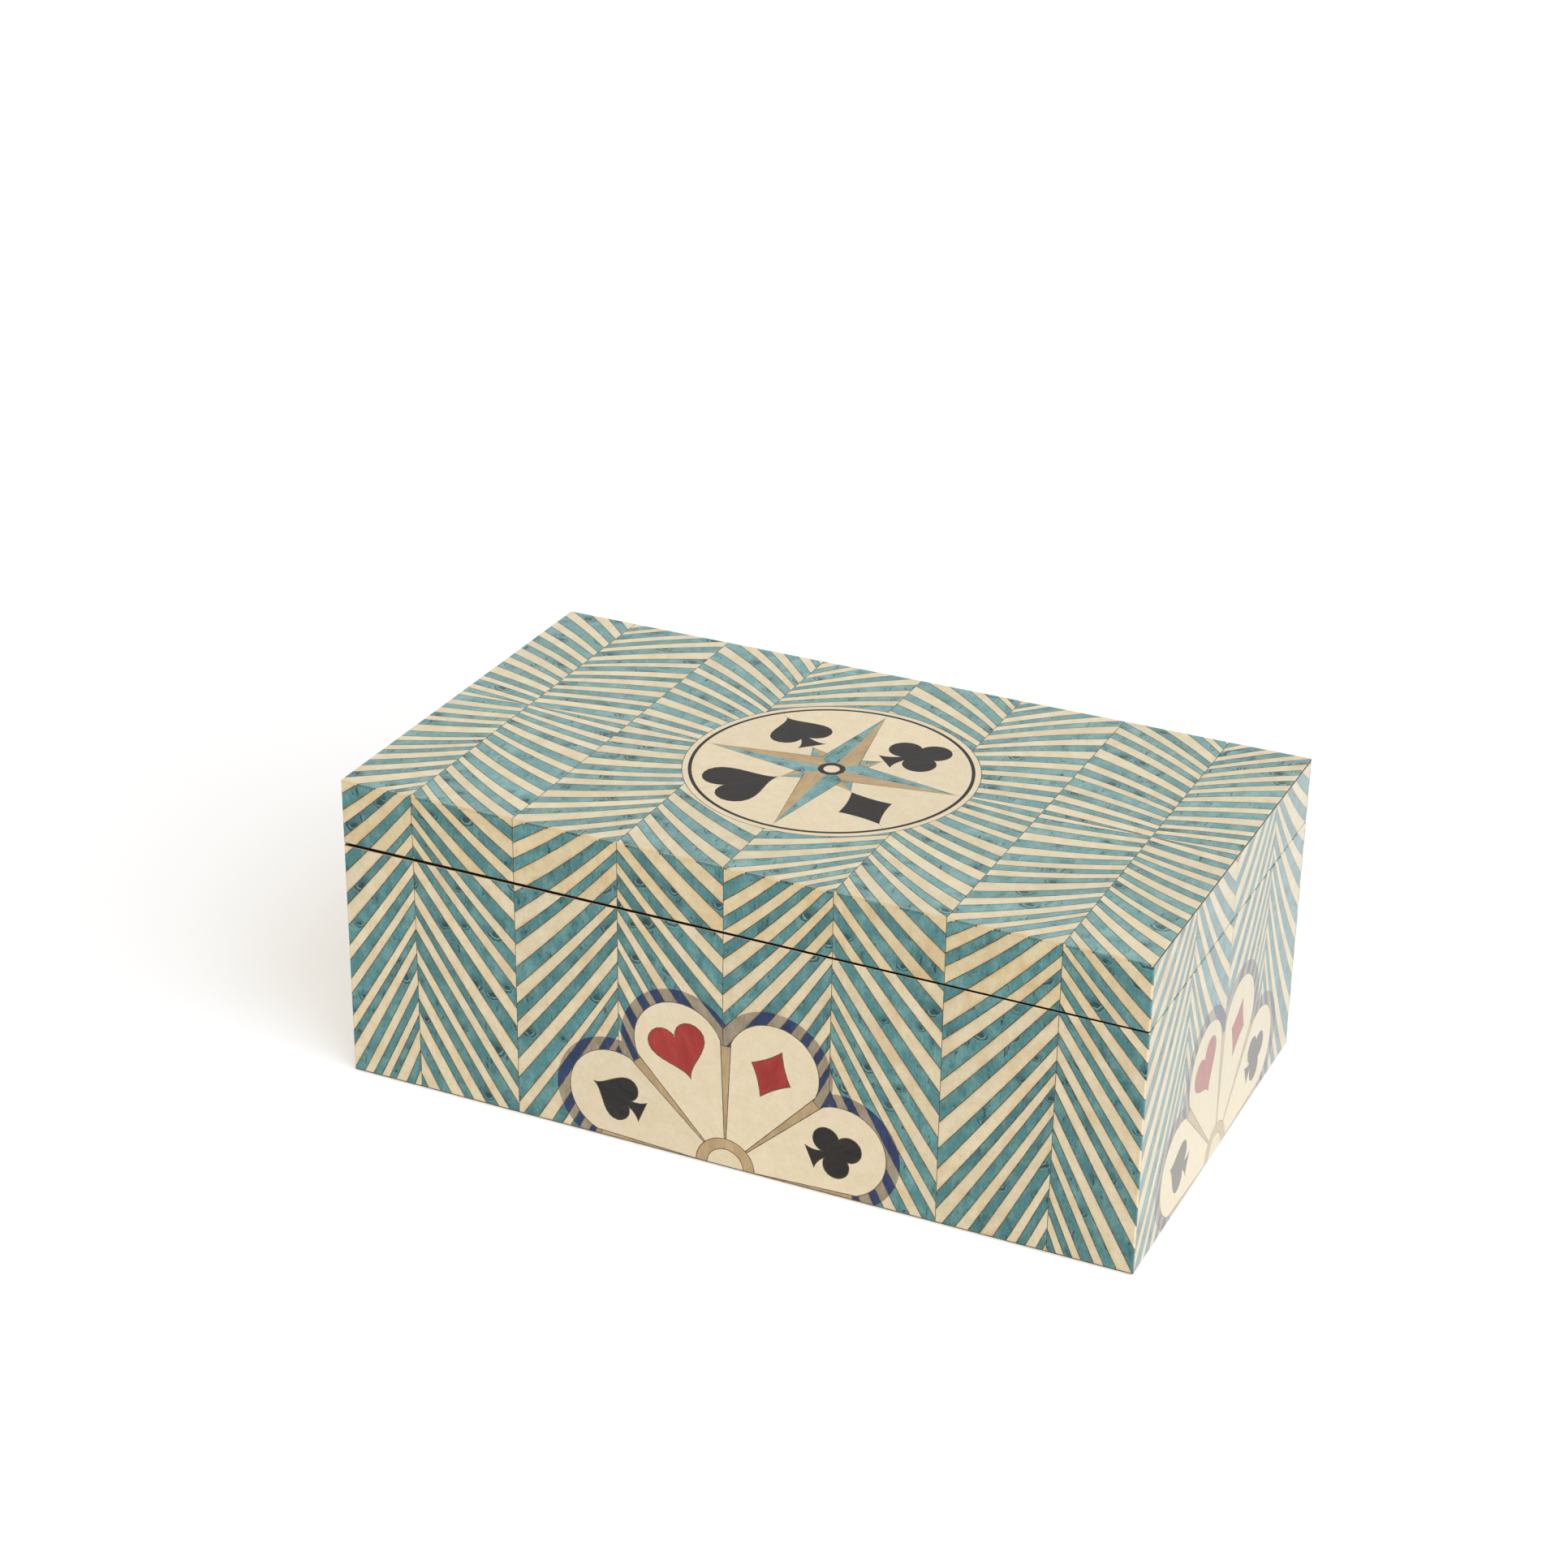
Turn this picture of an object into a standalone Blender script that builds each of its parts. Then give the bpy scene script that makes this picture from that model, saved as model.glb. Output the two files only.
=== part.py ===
"""A lidded box for playing cards, covered in veneer and hinged along the back.

Lengths are in metres and angles in degrees. X runs along the box, Y from its front to its
back, and Z up. The origin is on the surface that the box stands on, midway between its
outer side faces and midway between its outer front and back faces.
"""

import math

import bmesh
import bpy
from mathutils import Matrix, Vector

# Outside of the closed box
box_length = 0.230
box_depth = 0.130
box_height = 0.090
lid_height = 0.019
seam_gap = 0.0004
edge_round = 0.0006
rim_round_share = 0.5

# Layers of the walls, from the outside in, and the gap that every glued joint keeps
veneer_thickness = 0.0007
core_thickness = 0.008
liner_thickness = 0.0012
joint_gap = 0.0003

# Rims that cap the walls at the seam
rim_thickness = 0.0006
liner_drop = 0.0012

# Bottom and top panels, let into rebates in the walls
bottom_thickness = 0.006
lid_panel_thickness = 0.005
rebate_width = 0.004

# Cloth under the box
baize_thickness = 0.0006
baize_inset = 0.0017
veneer_foot = 0.0003

# Padded boards inside
floor_pad_thickness = 0.003
lid_pad_thickness = 0.003
pad_clearance = 0.0004
pad_round = 0.0009

# Dividers, with a scoop for the fingers
divider_thickness = 0.005
divider_drop = 0.004
divider_round = 0.0008
scoop_radius = 0.019
scoop_shoulder = 0.005
well_count = 3

# Pair of stop hinges
hinge_length = 0.030
hinge_from_end = 0.050
leaf_thickness = 0.002
leaf_width = 0.008
axis_behind = 0.0015
knuckle_count = 5
knuckle_gap = 0.00015
pin_radius = 0.0009
pin_clearance = 0.0001
pin_dome = 0.0002
leaf_clearance = 0.0003
heel_reach = 0.0012
heel_clearance = 0.00005
lid_opening = 95.0

# Countersunk screws, three to a leaf
screw_head_radius = 0.00175
screw_head_depth = 0.00085
screw_shank_radius = 0.0009
screw_length = 0.0078
screw_point = 0.0018
screw_recess = 0.0001
screw_clearance = 0.0003
screw_slot_width = 0.0004
screw_slot_depth = 0.0004
screw_end_margin = 0.005
screw_count = 3

# How far cutters run past what they cut, and how near counts as the same place
overrun = 0.001
coincidence = 0.00001

# Number of facets in round shapes
knuckle_sides = 24
pin_sides = 24
screw_sides = 16
arc_steps = 8
edge_segments = 2

# Half sizes of each layer, worked out from the outside in
half_length = box_length / 2
half_depth = box_depth / 2
core_outer_x = half_length - veneer_thickness - joint_gap
core_outer_y = half_depth - veneer_thickness - joint_gap
core_inner_x = core_outer_x - core_thickness
core_inner_y = core_outer_y - core_thickness
liner_outer_x = core_inner_x - joint_gap
liner_outer_y = core_inner_y - joint_gap
liner_inner_x = liner_outer_x - liner_thickness
liner_inner_y = liner_outer_y - liner_thickness
mitre_shift = joint_gap / math.sqrt(2)

# Heights in the body of the box
lid_bottom = box_height - lid_height
body_top = lid_bottom - seam_gap
body_core_low = baize_thickness + joint_gap
body_core_high = body_top - rim_thickness - joint_gap
bottom_top = body_core_low + bottom_thickness
inside_floor = bottom_top + joint_gap
floor_pad_top = inside_floor + floor_pad_thickness
divider_top = body_top - divider_drop

# Heights in the lid
lid_core_low = lid_bottom + rim_thickness + joint_gap
lid_core_high = box_height - veneer_thickness - joint_gap
lid_panel_low = lid_core_high - lid_panel_thickness
inside_ceiling = lid_panel_low - joint_gap
lid_pad_low = inside_ceiling - lid_pad_thickness

# The hinges' axis, and the sizes that follow from it
axis_y = half_depth + axis_behind
axis_z = body_top + seam_gap / 2
hinge_x = half_length - hinge_from_end
knuckle_radius = leaf_thickness + seam_gap / 2
leaf_cutback = knuckle_radius + leaf_clearance
knuckle_pitch = hinge_length / knuckle_count
mortise_depth = knuckle_radius + leaf_clearance
screw_row = (leaf_width + leaf_cutback) / 2

# Wells between the dividers
divider_centre = liner_inner_x / well_count
scoop_steps = 4 * arc_steps


def clear_scene():
    """Remove the objects that the file opened with."""
    for thing in list(bpy.data.objects):
        bpy.data.objects.remove(thing, do_unlink=True)


def make_collection(name):
    """Return a new collection that is linked to the scene."""
    collection = bpy.data.collections.new(name)
    bpy.context.scene.collection.children.link(collection)
    return collection


def make_material(name, colour, roughness, metallic=0.0):
    """Return a plain Principled material."""
    material = bpy.data.materials.new(name)
    material.use_nodes = True
    shader = material.node_tree.nodes["Principled BSDF"]
    shader.inputs["Base Color"].default_value = (*colour, 1.0)
    shader.inputs["Roughness"].default_value = roughness
    shader.inputs["Metallic"].default_value = metallic
    material.diffuse_color = (*colour, 1.0)
    return material


clear_scene()
parts = make_collection("playing_card_box")
cutters = make_collection("cutters")

teal_veneer = make_material("teal_veneer", (0.13, 0.27, 0.27), 0.35)
brown_veneer = make_material("brown_veneer", (0.10, 0.05, 0.03), 0.45)
core_wood = make_material("core_wood", (0.45, 0.31, 0.18), 0.60)
suede = make_material("suede", (0.05, 0.11, 0.11), 0.95)
baize = make_material("baize", (0.03, 0.07, 0.06), 1.00)
brass = make_material("brass", (0.80, 0.58, 0.25), 0.28, 1.0)


def add_piece(name, mesh, material, place=Matrix.Identity(4)):
    """Put a mesh in the box's collection under its node's name."""
    piece = bpy.data.objects.new(name, mesh)
    piece.matrix_world = place
    parts.objects.link(piece)
    piece.data.materials.clear()
    piece.data.materials.append(material)
    return piece


def add_cutter(name, mesh, place=Matrix.Identity(4)):
    """Put a mesh among the cutters, which are drawn as wires and never rendered."""
    cutter = bpy.data.objects.new(name, mesh)
    cutter.matrix_world = place
    cutter.hide_render = True
    cutter.display_type = "WIRE"
    cutters.objects.link(cutter)
    return cutter


def block_mesh(name, low, high):
    """Return a box between its lowest and its highest corner."""
    low, high = Vector(low), Vector(high)
    shape = bmesh.new()
    place = Matrix.Translation((low + high) / 2) @ Matrix.Diagonal((*(high - low), 1.0))
    bmesh.ops.create_cube(shape, size=1.0, matrix=place)
    mesh = bpy.data.meshes.new(name)
    shape.to_mesh(mesh)
    shape.free()
    return mesh


def cylinder_mesh(name, radius, start, end, sides):
    """Return a cylinder along X, between two places on it."""
    shape = bmesh.new()
    turn = Matrix.Rotation(math.radians(90), 4, "Y")
    place = Matrix.Translation(((start + end) / 2, 0, 0)) @ turn
    bmesh.ops.create_cone(shape, cap_ends=True, segments=sides, radius1=radius,
                          radius2=radius, depth=end - start, matrix=place)
    mesh = bpy.data.meshes.new(name)
    shape.to_mesh(mesh)
    shape.free()
    return mesh


def evaluated_mesh(source, name):
    """Return the mesh of an object with its modifiers, or of a curve, with its caps welded."""
    bpy.context.view_layer.update()
    evaluated = source.evaluated_get(bpy.context.evaluated_depsgraph_get())
    mesh = bpy.data.meshes.new_from_object(evaluated)
    mesh.name = name
    shape = bmesh.new()
    shape.from_mesh(mesh)
    bmesh.ops.remove_doubles(shape, verts=shape.verts, dist=coincidence / 10)
    shape.to_mesh(mesh)
    shape.free()
    return mesh


def outline_mesh(name, outlines, thickness):
    """Return a flat shape of the given outlines, which lies midway in its thickness."""
    curve = bpy.data.curves.new(name, "CURVE")
    curve.dimensions = "2D"
    curve.fill_mode = "BOTH"
    curve.extrude = thickness / 2
    for outline in outlines:
        spline = curve.splines.new("POLY")
        spline.points.add(len(outline) - 1)
        for point, (x, y) in zip(spline.points, outline):
            point.co = (x, y, 0, 1)
        spline.use_cyclic_u = True
    source = bpy.data.objects.new(name, curve)
    cutters.objects.link(source)
    mesh = evaluated_mesh(source, name)
    bpy.data.objects.remove(source)
    return mesh


def turned_mesh(name, profile, sides):
    """Return a shape turned about Z from a profile that runs down its outer side."""
    line = bpy.data.meshes.new(name)
    points = [(radius, 0, height) for radius, height in profile]
    line.from_pydata(points, [(i, i + 1) for i in range(len(points) - 1)], [])
    source = bpy.data.objects.new(name, line)
    cutters.objects.link(source)
    screw = source.modifiers.new("Turned", "SCREW")
    screw.steps = sides
    screw.render_steps = sides
    screw.use_merge_vertices = True
    screw.merge_threshold = coincidence / 10
    mesh = evaluated_mesh(source, name)
    bpy.data.objects.remove(source)
    return mesh


def finished_mesh(piece, name):
    """Return the piece's mesh with its modifiers, and remove it with the shapes that made it."""
    mesh = evaluated_mesh(piece, name)
    tools = [modifier.object for modifier in piece.modifiers if modifier.type == "BOOLEAN"]
    for thing in tools + [piece]:
        bpy.data.objects.remove(thing)
    return mesh


def cut(piece, *shapes):
    """Cut each shape out of the piece."""
    for shape in shapes:
        boolean = piece.modifiers.new("Cut by " + shape.name, "BOOLEAN")
        boolean.operation = "DIFFERENCE"
        boolean.solver = "EXACT"
        boolean.object = shape


def join(piece, *shapes):
    """Join each shape to the piece."""
    for shape in shapes:
        boolean = piece.modifiers.new("Joined to " + shape.name, "BOOLEAN")
        boolean.operation = "UNION"
        boolean.solver = "EXACT"
        boolean.object = shape


def soften(piece, width, weight_of):
    """Round the piece's edges, each by its own share of the width."""
    weights = piece.data.attributes.new("bevel_weight_edge", "FLOAT", "EDGE")
    for edge in piece.data.edges:
        first, second = (piece.data.vertices[i].co for i in edge.vertices)
        weights.data[edge.index].value = weight_of((first + second) / 2)
    bevel = piece.modifiers.new("Rounded edges", "BEVEL")
    bevel.limit_method = "WEIGHT"
    bevel.width = width
    bevel.segments = edge_segments


def shade_round(piece):
    """Shade the piece smooth, apart from its sharp edges."""
    piece.data.shade_smooth()
    piece.data.set_sharp_from_angle(angle=math.radians(35))


def near(first, second):
    """Say whether two lengths are the same."""
    return abs(first - second) < coincidence


def outer_edge_weight(place):
    """Return the share of edge_round that an edge of the outer skin gets."""
    faces = near(abs(place.x), half_length) + near(abs(place.y), half_depth)
    faces += near(place.z, box_height)
    rims = near(place.z, lid_bottom) + near(place.z, body_top)
    if faces >= 2:
        return 1.0
    if faces and rims:
        return rim_round_share
    return 0.0


def arc(centre, radius, start, end, steps):
    """Return points along an arc between two angles."""
    points = []
    for i in range(steps + 1):
        angle = math.radians(start + (end - start) * i / steps)
        points.append((centre[0] + radius * math.cos(angle), centre[1] + radius * math.sin(angle)))
    return points


def board_outline(side):
    """Return the plan of one mitred board of the frame that the walls make."""
    outer_x, outer_y = core_outer_x, core_outer_y
    inner_x, inner_y = core_inner_x, core_inner_y
    if side in ("front", "back"):
        sign = -1 if side == "front" else 1
        outer, inner = outer_x - mitre_shift, inner_x - mitre_shift
        return [(-outer, sign * outer_y), (outer, sign * outer_y),
                (inner, sign * inner_y), (-inner, sign * inner_y)]
    sign = -1 if side == "left" else 1
    outer, inner = outer_y - mitre_shift, inner_y - mitre_shift
    return [(sign * outer_x, -outer), (sign * outer_x, outer),
            (sign * inner_x, inner), (sign * inner_x, -inner)]


def make_boards(prefix, suffix, low, high, rebate):
    """Make the four mitred boards of the body or the lid, rebated for its panel."""
    boards = {}
    for side in ("front", "back", "left", "right"):
        name = prefix + side + suffix
        place = Matrix.Translation((0, 0, (low + high) / 2))
        mesh = outline_mesh(name, [board_outline(side)], high - low)
        boards[side] = add_piece(name, mesh, core_wood, place)
        cut(boards[side], rebate)
    return boards


def make_side_veneers(prefix, low, high):
    """Make the four outer skins of the body or the lid; the long ones cover the short ones."""
    veneers = {}
    between = half_depth - veneer_thickness - joint_gap
    for side, sign in (("front", -1), ("back", 1)):
        near_y, far_y = sorted((sign * half_depth, sign * (half_depth - veneer_thickness)))
        name = prefix + side + "_veneer"
        mesh = block_mesh(name, (-half_length, near_y, low), (half_length, far_y, high))
        veneers[side] = add_piece(name, mesh, teal_veneer)
    for side, sign in (("left", -1), ("right", 1)):
        near_x, far_x = sorted((sign * half_length, sign * (half_length - veneer_thickness)))
        name = prefix + side + "_veneer"
        mesh = block_mesh(name, (near_x, -between, low), (far_x, between, high))
        veneers[side] = add_piece(name, mesh, teal_veneer)
    for veneer in veneers.values():
        soften(veneer, edge_round, outer_edge_weight)
    return veneers


def make_rim(name, height):
    """Make a flat rim that caps the ends of the walls, within the outer skins."""
    outer = [(-core_outer_x, -core_outer_y), (core_outer_x, -core_outer_y),
             (core_outer_x, core_outer_y), (-core_outer_x, core_outer_y)]
    inner = [(-core_inner_x, -core_inner_y), (core_inner_x, -core_inner_y),
             (core_inner_x, core_inner_y), (-core_inner_x, core_inner_y)]
    place = Matrix.Translation((0, 0, height))
    return add_piece(name, outline_mesh(name, [outer, inner], rim_thickness), brown_veneer, place)


def make_body():
    """Make the body's walls, bottom, outer skins and rim."""
    rebate_x = core_inner_x + rebate_width
    rebate_y = core_inner_y + rebate_width
    panel_x = rebate_x - joint_gap
    panel_y = rebate_y - joint_gap
    rebate = add_cutter("bottom_rebate", block_mesh(
        "bottom_rebate", (-rebate_x, -rebate_y, body_core_low - overrun), (rebate_x, rebate_y, inside_floor)))
    boards = make_boards("", "_wall", body_core_low, body_core_high, rebate)
    add_piece("bottom_panel", block_mesh(
        "bottom_panel", (-panel_x, -panel_y, body_core_low), (panel_x, panel_y, bottom_top)), core_wood)

    baize_x = half_length - baize_inset
    baize_y = half_depth - baize_inset
    add_piece("base_baize", block_mesh(
        "base_baize", (-baize_x, -baize_y, 0), (baize_x, baize_y, baize_thickness)), baize)

    veneers = make_side_veneers("", veneer_foot, body_top)
    rim = make_rim("body_rim", body_top - rim_thickness / 2)
    return boards["back"], veneers["back"], rim


def make_lid():
    """Make the lid's rails, panel, outer skins and rim."""
    rebate_x = core_inner_x + rebate_width
    rebate_y = core_inner_y + rebate_width
    panel_x = rebate_x - joint_gap
    panel_y = rebate_y - joint_gap
    rebate = add_cutter("lid_rebate", block_mesh(
        "lid_rebate", (-rebate_x, -rebate_y, inside_ceiling), (rebate_x, rebate_y, lid_core_high + overrun)))
    boards = make_boards("lid_", "_rail", lid_core_low, lid_core_high, rebate)
    add_piece("lid_panel", block_mesh(
        "lid_panel", (-panel_x, -panel_y, lid_panel_low), (panel_x, panel_y, lid_core_high)), core_wood)

    veneers = make_side_veneers("lid_", lid_bottom, lid_core_high)
    top = add_piece("lid_top_veneer", block_mesh(
        "lid_top_veneer", (-half_length, -half_depth, box_height - veneer_thickness),
        (half_length, half_depth, box_height)), teal_veneer)
    soften(top, edge_round, outer_edge_weight)
    rim = make_rim("lid_rim", lid_bottom + rim_thickness / 2)
    return boards["back"], veneers["back"], rim


def make_liners(prefix, low, high, slots):
    """Line the body or the lid; the long liners have slots for the dividers' ends."""
    for side, sign in (("front", -1), ("back", 1)):
        near_y, far_y = sorted((sign * liner_outer_y, sign * liner_inner_y))
        name = prefix + side + "_liner"
        mesh = block_mesh(name, (-liner_outer_x, near_y, low), (liner_outer_x, far_y, high))
        liner = add_piece(name, mesh, suede)
        cut(liner, *slots)
    between = liner_inner_y - joint_gap
    for side, sign in (("left", -1), ("right", 1)):
        near_x, far_x = sorted((sign * liner_outer_x, sign * liner_inner_x))
        name = prefix + side + "_liner"
        add_piece(name, block_mesh(name, (near_x, -between, low), (far_x, between, high)), suede)


def divider_outline():
    """Return the side view of a divider, with a scoop in its top edge."""
    half = liner_outer_y
    reach = scoop_radius + scoop_shoulder
    tangent = math.degrees(math.asin(scoop_shoulder / reach))
    shoulder_y = math.sqrt(reach ** 2 - scoop_shoulder ** 2)
    shoulder_z = divider_top - scoop_shoulder
    points = [(-half, inside_floor), (half, inside_floor), (half, divider_top)]
    points += arc((shoulder_y, shoulder_z), scoop_shoulder, 90, 180 - tangent, arc_steps)
    points += arc((0, divider_top), scoop_radius, -tangent, tangent - 180, scoop_steps)[1:-1]
    points += arc((-shoulder_y, shoulder_z), scoop_shoulder, tangent, 90, arc_steps)
    points.append((-half, divider_top))
    return points


def make_dividers():
    """Stand the two dividers on the bottom and return the slots for their ends."""
    stand = Matrix(((0, 0, 1, 0), (1, 0, 0, 0), (0, 1, 0, 0), (0, 0, 0, 1)))
    mesh = outline_mesh("divider", [divider_outline()], divider_thickness)
    slots = []
    for side, sign in (("left", -1), ("right", 1)):
        place = Matrix.Translation((sign * divider_centre, 0, 0)) @ stand
        divider = add_piece(side + "_divider", mesh, suede, place)
        bevel = divider.modifiers.new("Rounded edges", "BEVEL")
        bevel.width = divider_round
        bevel.segments = edge_segments
        bevel.angle_limit = math.radians(60)
        half = divider_thickness / 2 + joint_gap
        centre = sign * divider_centre
        slots.append(add_cutter(side + "_divider_slot", block_mesh(
            side + "_divider_slot", (centre - half, -half_depth, inside_floor - overrun),
            (centre + half, half_depth, divider_top + joint_gap))))
    return slots


def make_pad(name, low, high, round_at):
    """Make a padded board whose edges are rounded on the side that shows."""
    pad = add_piece(name, block_mesh(name, low, high), suede)
    soften(pad, pad_round, lambda place: 1.0 if near(place.z, round_at) else 0.0)
    shade_round(pad)
    return pad


def make_pads():
    """Lay a pad in each well and one under the lid's panel."""
    end = liner_inner_x - pad_clearance
    inner = divider_centre - divider_thickness / 2 - pad_clearance
    outer = divider_centre + divider_thickness / 2 + pad_clearance
    depth = liner_inner_y - pad_clearance
    for name, low, high in (("left_floor_pad", -end, -outer), ("centre_floor_pad", -inner, inner),
                            ("right_floor_pad", outer, end)):
        make_pad(name, (low, -depth, inside_floor), (high, depth, floor_pad_top), floor_pad_top)
    make_pad("lid_pad", (-end, -depth, lid_pad_low), (end, depth, inside_ceiling), lid_pad_low)


def screw_places():
    """Return the places of a leaf's screws along the hinge."""
    span = hinge_length - 2 * screw_end_margin
    return [-span / 2 + span * i / (screw_count - 1) for i in range(screw_count)]


def knuckle_span(index):
    """Return where a knuckle of the barrel starts and ends along the hinge."""
    start = -hinge_length / 2 + knuckle_pitch * index
    return start, start + knuckle_pitch


def heel_mesh(name, start, end):
    """Return a heel that squares a knuckle's top, so that the open lid's leaf comes to rest on it."""
    lean = math.radians(lid_opening - 90)
    reach = leaf_cutback - heel_clearance
    top_front = reach / math.cos(lean)
    top_back = (reach - heel_reach * math.sin(lean)) / math.cos(lean)
    section = [(0, 0), (heel_reach, 0), (heel_reach, top_back), (0, top_front)]
    mesh = outline_mesh(name, [section], end - start)
    stand = Matrix(((0, 0, 1, 0), (1, 0, 0, 0), (0, 1, 0, 0), (0, 0, 0, 1)))
    mesh.transform(Matrix.Translation(((start + end) / 2, 0, 0)) @ stand)
    return mesh


def countersunk_hole(name):
    """Return the cutter for a leaf's screw hole, whose top is level with the leaf's face."""
    wide = screw_head_radius + screw_clearance
    narrow = screw_shank_radius + screw_clearance
    depth = wide - narrow
    return turned_mesh(name, [(0, overrun), (wide, overrun), (wide, 0), (narrow, -depth),
                              (narrow, -leaf_thickness - overrun), (0, -leaf_thickness - overrun)],
                       screw_sides)


def leaf_mesh(name, first_knuckle, heels):
    """Return a lower leaf with every second knuckle; the hinge's axis runs along X."""
    low, high = -seam_gap / 2 - leaf_thickness, -seam_gap / 2
    half = hinge_length / 2
    leaf = add_cutter(name, block_mesh(name, (-half, -leaf_width, low), (half, 0, high)))
    for index in range(knuckle_count):
        start, end = knuckle_span(index)
        label = f"{name}_knuckle_{index + 1}"
        if index % 2 == first_knuckle:
            start += knuckle_gap / 2 if index > 0 else 0
            end -= knuckle_gap / 2 if index < knuckle_count - 1 else 0
            join(leaf, add_cutter(label, cylinder_mesh(label, knuckle_radius, start, end, knuckle_sides)))
            if heels:
                join(leaf, add_cutter(label + "_heel", heel_mesh(label + "_heel", start, end)))
        else:
            start -= knuckle_gap / 2 if index > 0 else overrun
            end += knuckle_gap / 2 if index < knuckle_count - 1 else overrun
            cut(leaf, add_cutter(label, block_mesh(
                label, (start, -leaf_cutback, low - overrun), (end, knuckle_radius, high + overrun))))
    bore = pin_radius + pin_clearance
    cut(leaf, add_cutter(name + "_bore", cylinder_mesh(
        name + "_bore", bore, -half - overrun, half + overrun, pin_sides)))
    for index, x in enumerate(screw_places()):
        label = f"{name}_hole_{index + 1}"
        cut(leaf, add_cutter(label, countersunk_hole(label), Matrix.Translation((x, -screw_row, high))))
    return finished_mesh(leaf, name)


def pin_mesh():
    """Return the hinge pin, with its ends slightly domed."""
    half = hinge_length / 2
    flat = half - pin_dome
    inner = pin_radius - pin_dome
    mesh = turned_mesh("hinge_pin", [(0, half), (inner, half), (pin_radius, flat), (pin_radius, -flat),
                                     (inner, -half), (0, -half)], pin_sides)
    mesh.transform(Matrix.Rotation(math.radians(90), 4, "Y"))
    return mesh


def screw_mesh():
    """Return a countersunk screw whose slotted head is at the top."""
    profile = [(0, 0), (screw_head_radius, 0), (screw_shank_radius, -screw_head_depth),
               (screw_shank_radius, screw_point - screw_length), (0, -screw_length)]
    screw = add_cutter("screw", turned_mesh("screw", profile, screw_sides))
    half_slot = screw_slot_width / 2
    across = screw_head_radius + overrun
    slot = add_cutter("screw_slot", block_mesh(
        "screw_slot", (-across, -half_slot, -screw_slot_depth), (across, half_slot, overrun)))
    cut(screw, slot)
    return finished_mesh(screw, "screw")


def pilot_cutter(name, place):
    """Return the cutter for the screw holes under one leaf."""
    shape = bmesh.new()
    radius = screw_shank_radius + screw_clearance
    depth = screw_length + screw_clearance
    for x in screw_places():
        middle = Matrix.Translation((x, -screw_row, -seam_gap / 2 - depth / 2))
        bmesh.ops.create_cone(shape, cap_ends=True, segments=screw_sides, radius1=radius,
                              radius2=radius, depth=depth, matrix=middle)
    mesh = bpy.data.meshes.new(name)
    shape.to_mesh(mesh)
    shape.free()
    return add_cutter(name, mesh, place)


def make_hinges(body_backs, lid_backs):
    """Make the two hinges, their pins and screws, and let them into both rims."""
    upside_down = Matrix.Rotation(math.radians(180), 4, "X")
    mirrored = Matrix.Diagonal((1, 1, -1, 1))
    body_leaf = leaf_mesh("body_leaf", 0, True)
    lid_leaf = leaf_mesh("lid_leaf", 1, False)
    lid_leaf.transform(mirrored)
    lid_leaf.flip_normals()
    pin = pin_mesh()
    screw = screw_mesh()
    head = -seam_gap / 2 - screw_recess
    half = hinge_length / 2 + joint_gap
    front = -leaf_width - joint_gap
    back = knuckle_radius + overrun
    for side, sign in (("left", -1), ("right", 1)):
        place = Matrix.Translation((sign * hinge_x, axis_y, axis_z))
        shade_round(add_piece(side + "_hinge_body_leaf", body_leaf, brass, place))
        shade_round(add_piece(side + "_hinge_lid_leaf", lid_leaf, brass, place))
        shade_round(add_piece(side + "_hinge_pin", pin, brass, place))
        for index, x in enumerate(screw_places()):
            lower = place @ Matrix.Translation((x, -screw_row, head))
            upper = place @ Matrix.Translation((x, -screw_row, -head)) @ upside_down
            shade_round(add_piece(f"{side}_body_screw_{index + 1}", screw, brass, lower))
            shade_round(add_piece(f"{side}_lid_screw_{index + 1}", screw, brass, upper))

        lower_name, upper_name = side + "_body_mortise", side + "_lid_mortise"
        lower = add_cutter(lower_name, block_mesh(
            lower_name, (-half, front, -mortise_depth), (half, back, overrun)), place)
        upper = add_cutter(upper_name, block_mesh(
            upper_name, (-half, front, -overrun), (half, back, mortise_depth)), place)
        for piece in body_backs:
            cut(piece, lower)
        for piece in lid_backs:
            cut(piece, upper)
        flipped = place @ upside_down @ Matrix.Diagonal((1, -1, 1, 1))
        cut(body_backs[0], pilot_cutter(side + "_body_pilots", place))
        cut(lid_backs[0], pilot_cutter(side + "_lid_pilots", flipped))


def hang_lid():
    """Parent everything that moves, and what cuts it, to an empty on the hinges' axis."""
    moving = [thing for thing in (*parts.objects, *cutters.objects)
              if thing.name.startswith("lid_") or "_lid_" in thing.name]
    axis = bpy.data.objects.new("lid_axis", None)
    axis.location = (0, axis_y, axis_z)
    axis.empty_display_size = knuckle_radius
    parts.objects.link(axis)
    bpy.context.view_layer.update()
    for thing in moving:
        thing.parent = axis
        thing.matrix_parent_inverse = axis.matrix_world.inverted()


body_back, body_back_veneer, body_rim = make_body()
lid_back, lid_back_veneer, lid_rim = make_lid()
divider_slots = make_dividers()
make_liners("", inside_floor, body_top - liner_drop, divider_slots)
make_liners("lid_", lid_bottom + liner_drop, inside_ceiling, [])
make_pads()
make_hinges([body_back, body_back_veneer, body_rim], [lid_back, lid_back_veneer, lid_rim])
hang_lid()
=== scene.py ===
"""Looks for a lidded box for playing cards that is covered in marquetry.

Lengths are in metres and angles in degrees. X runs along the box, Y from its front to its back,
and Z up. Each panel of marquetry is a sheet of veneer that its strips and inlays are cut into.
"""

import math
import random

import bmesh
import bpy
import numpy as np
from mathutils import Matrix, Vector, noise
from mathutils.geometry import delaunay_2d_cdt


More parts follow.
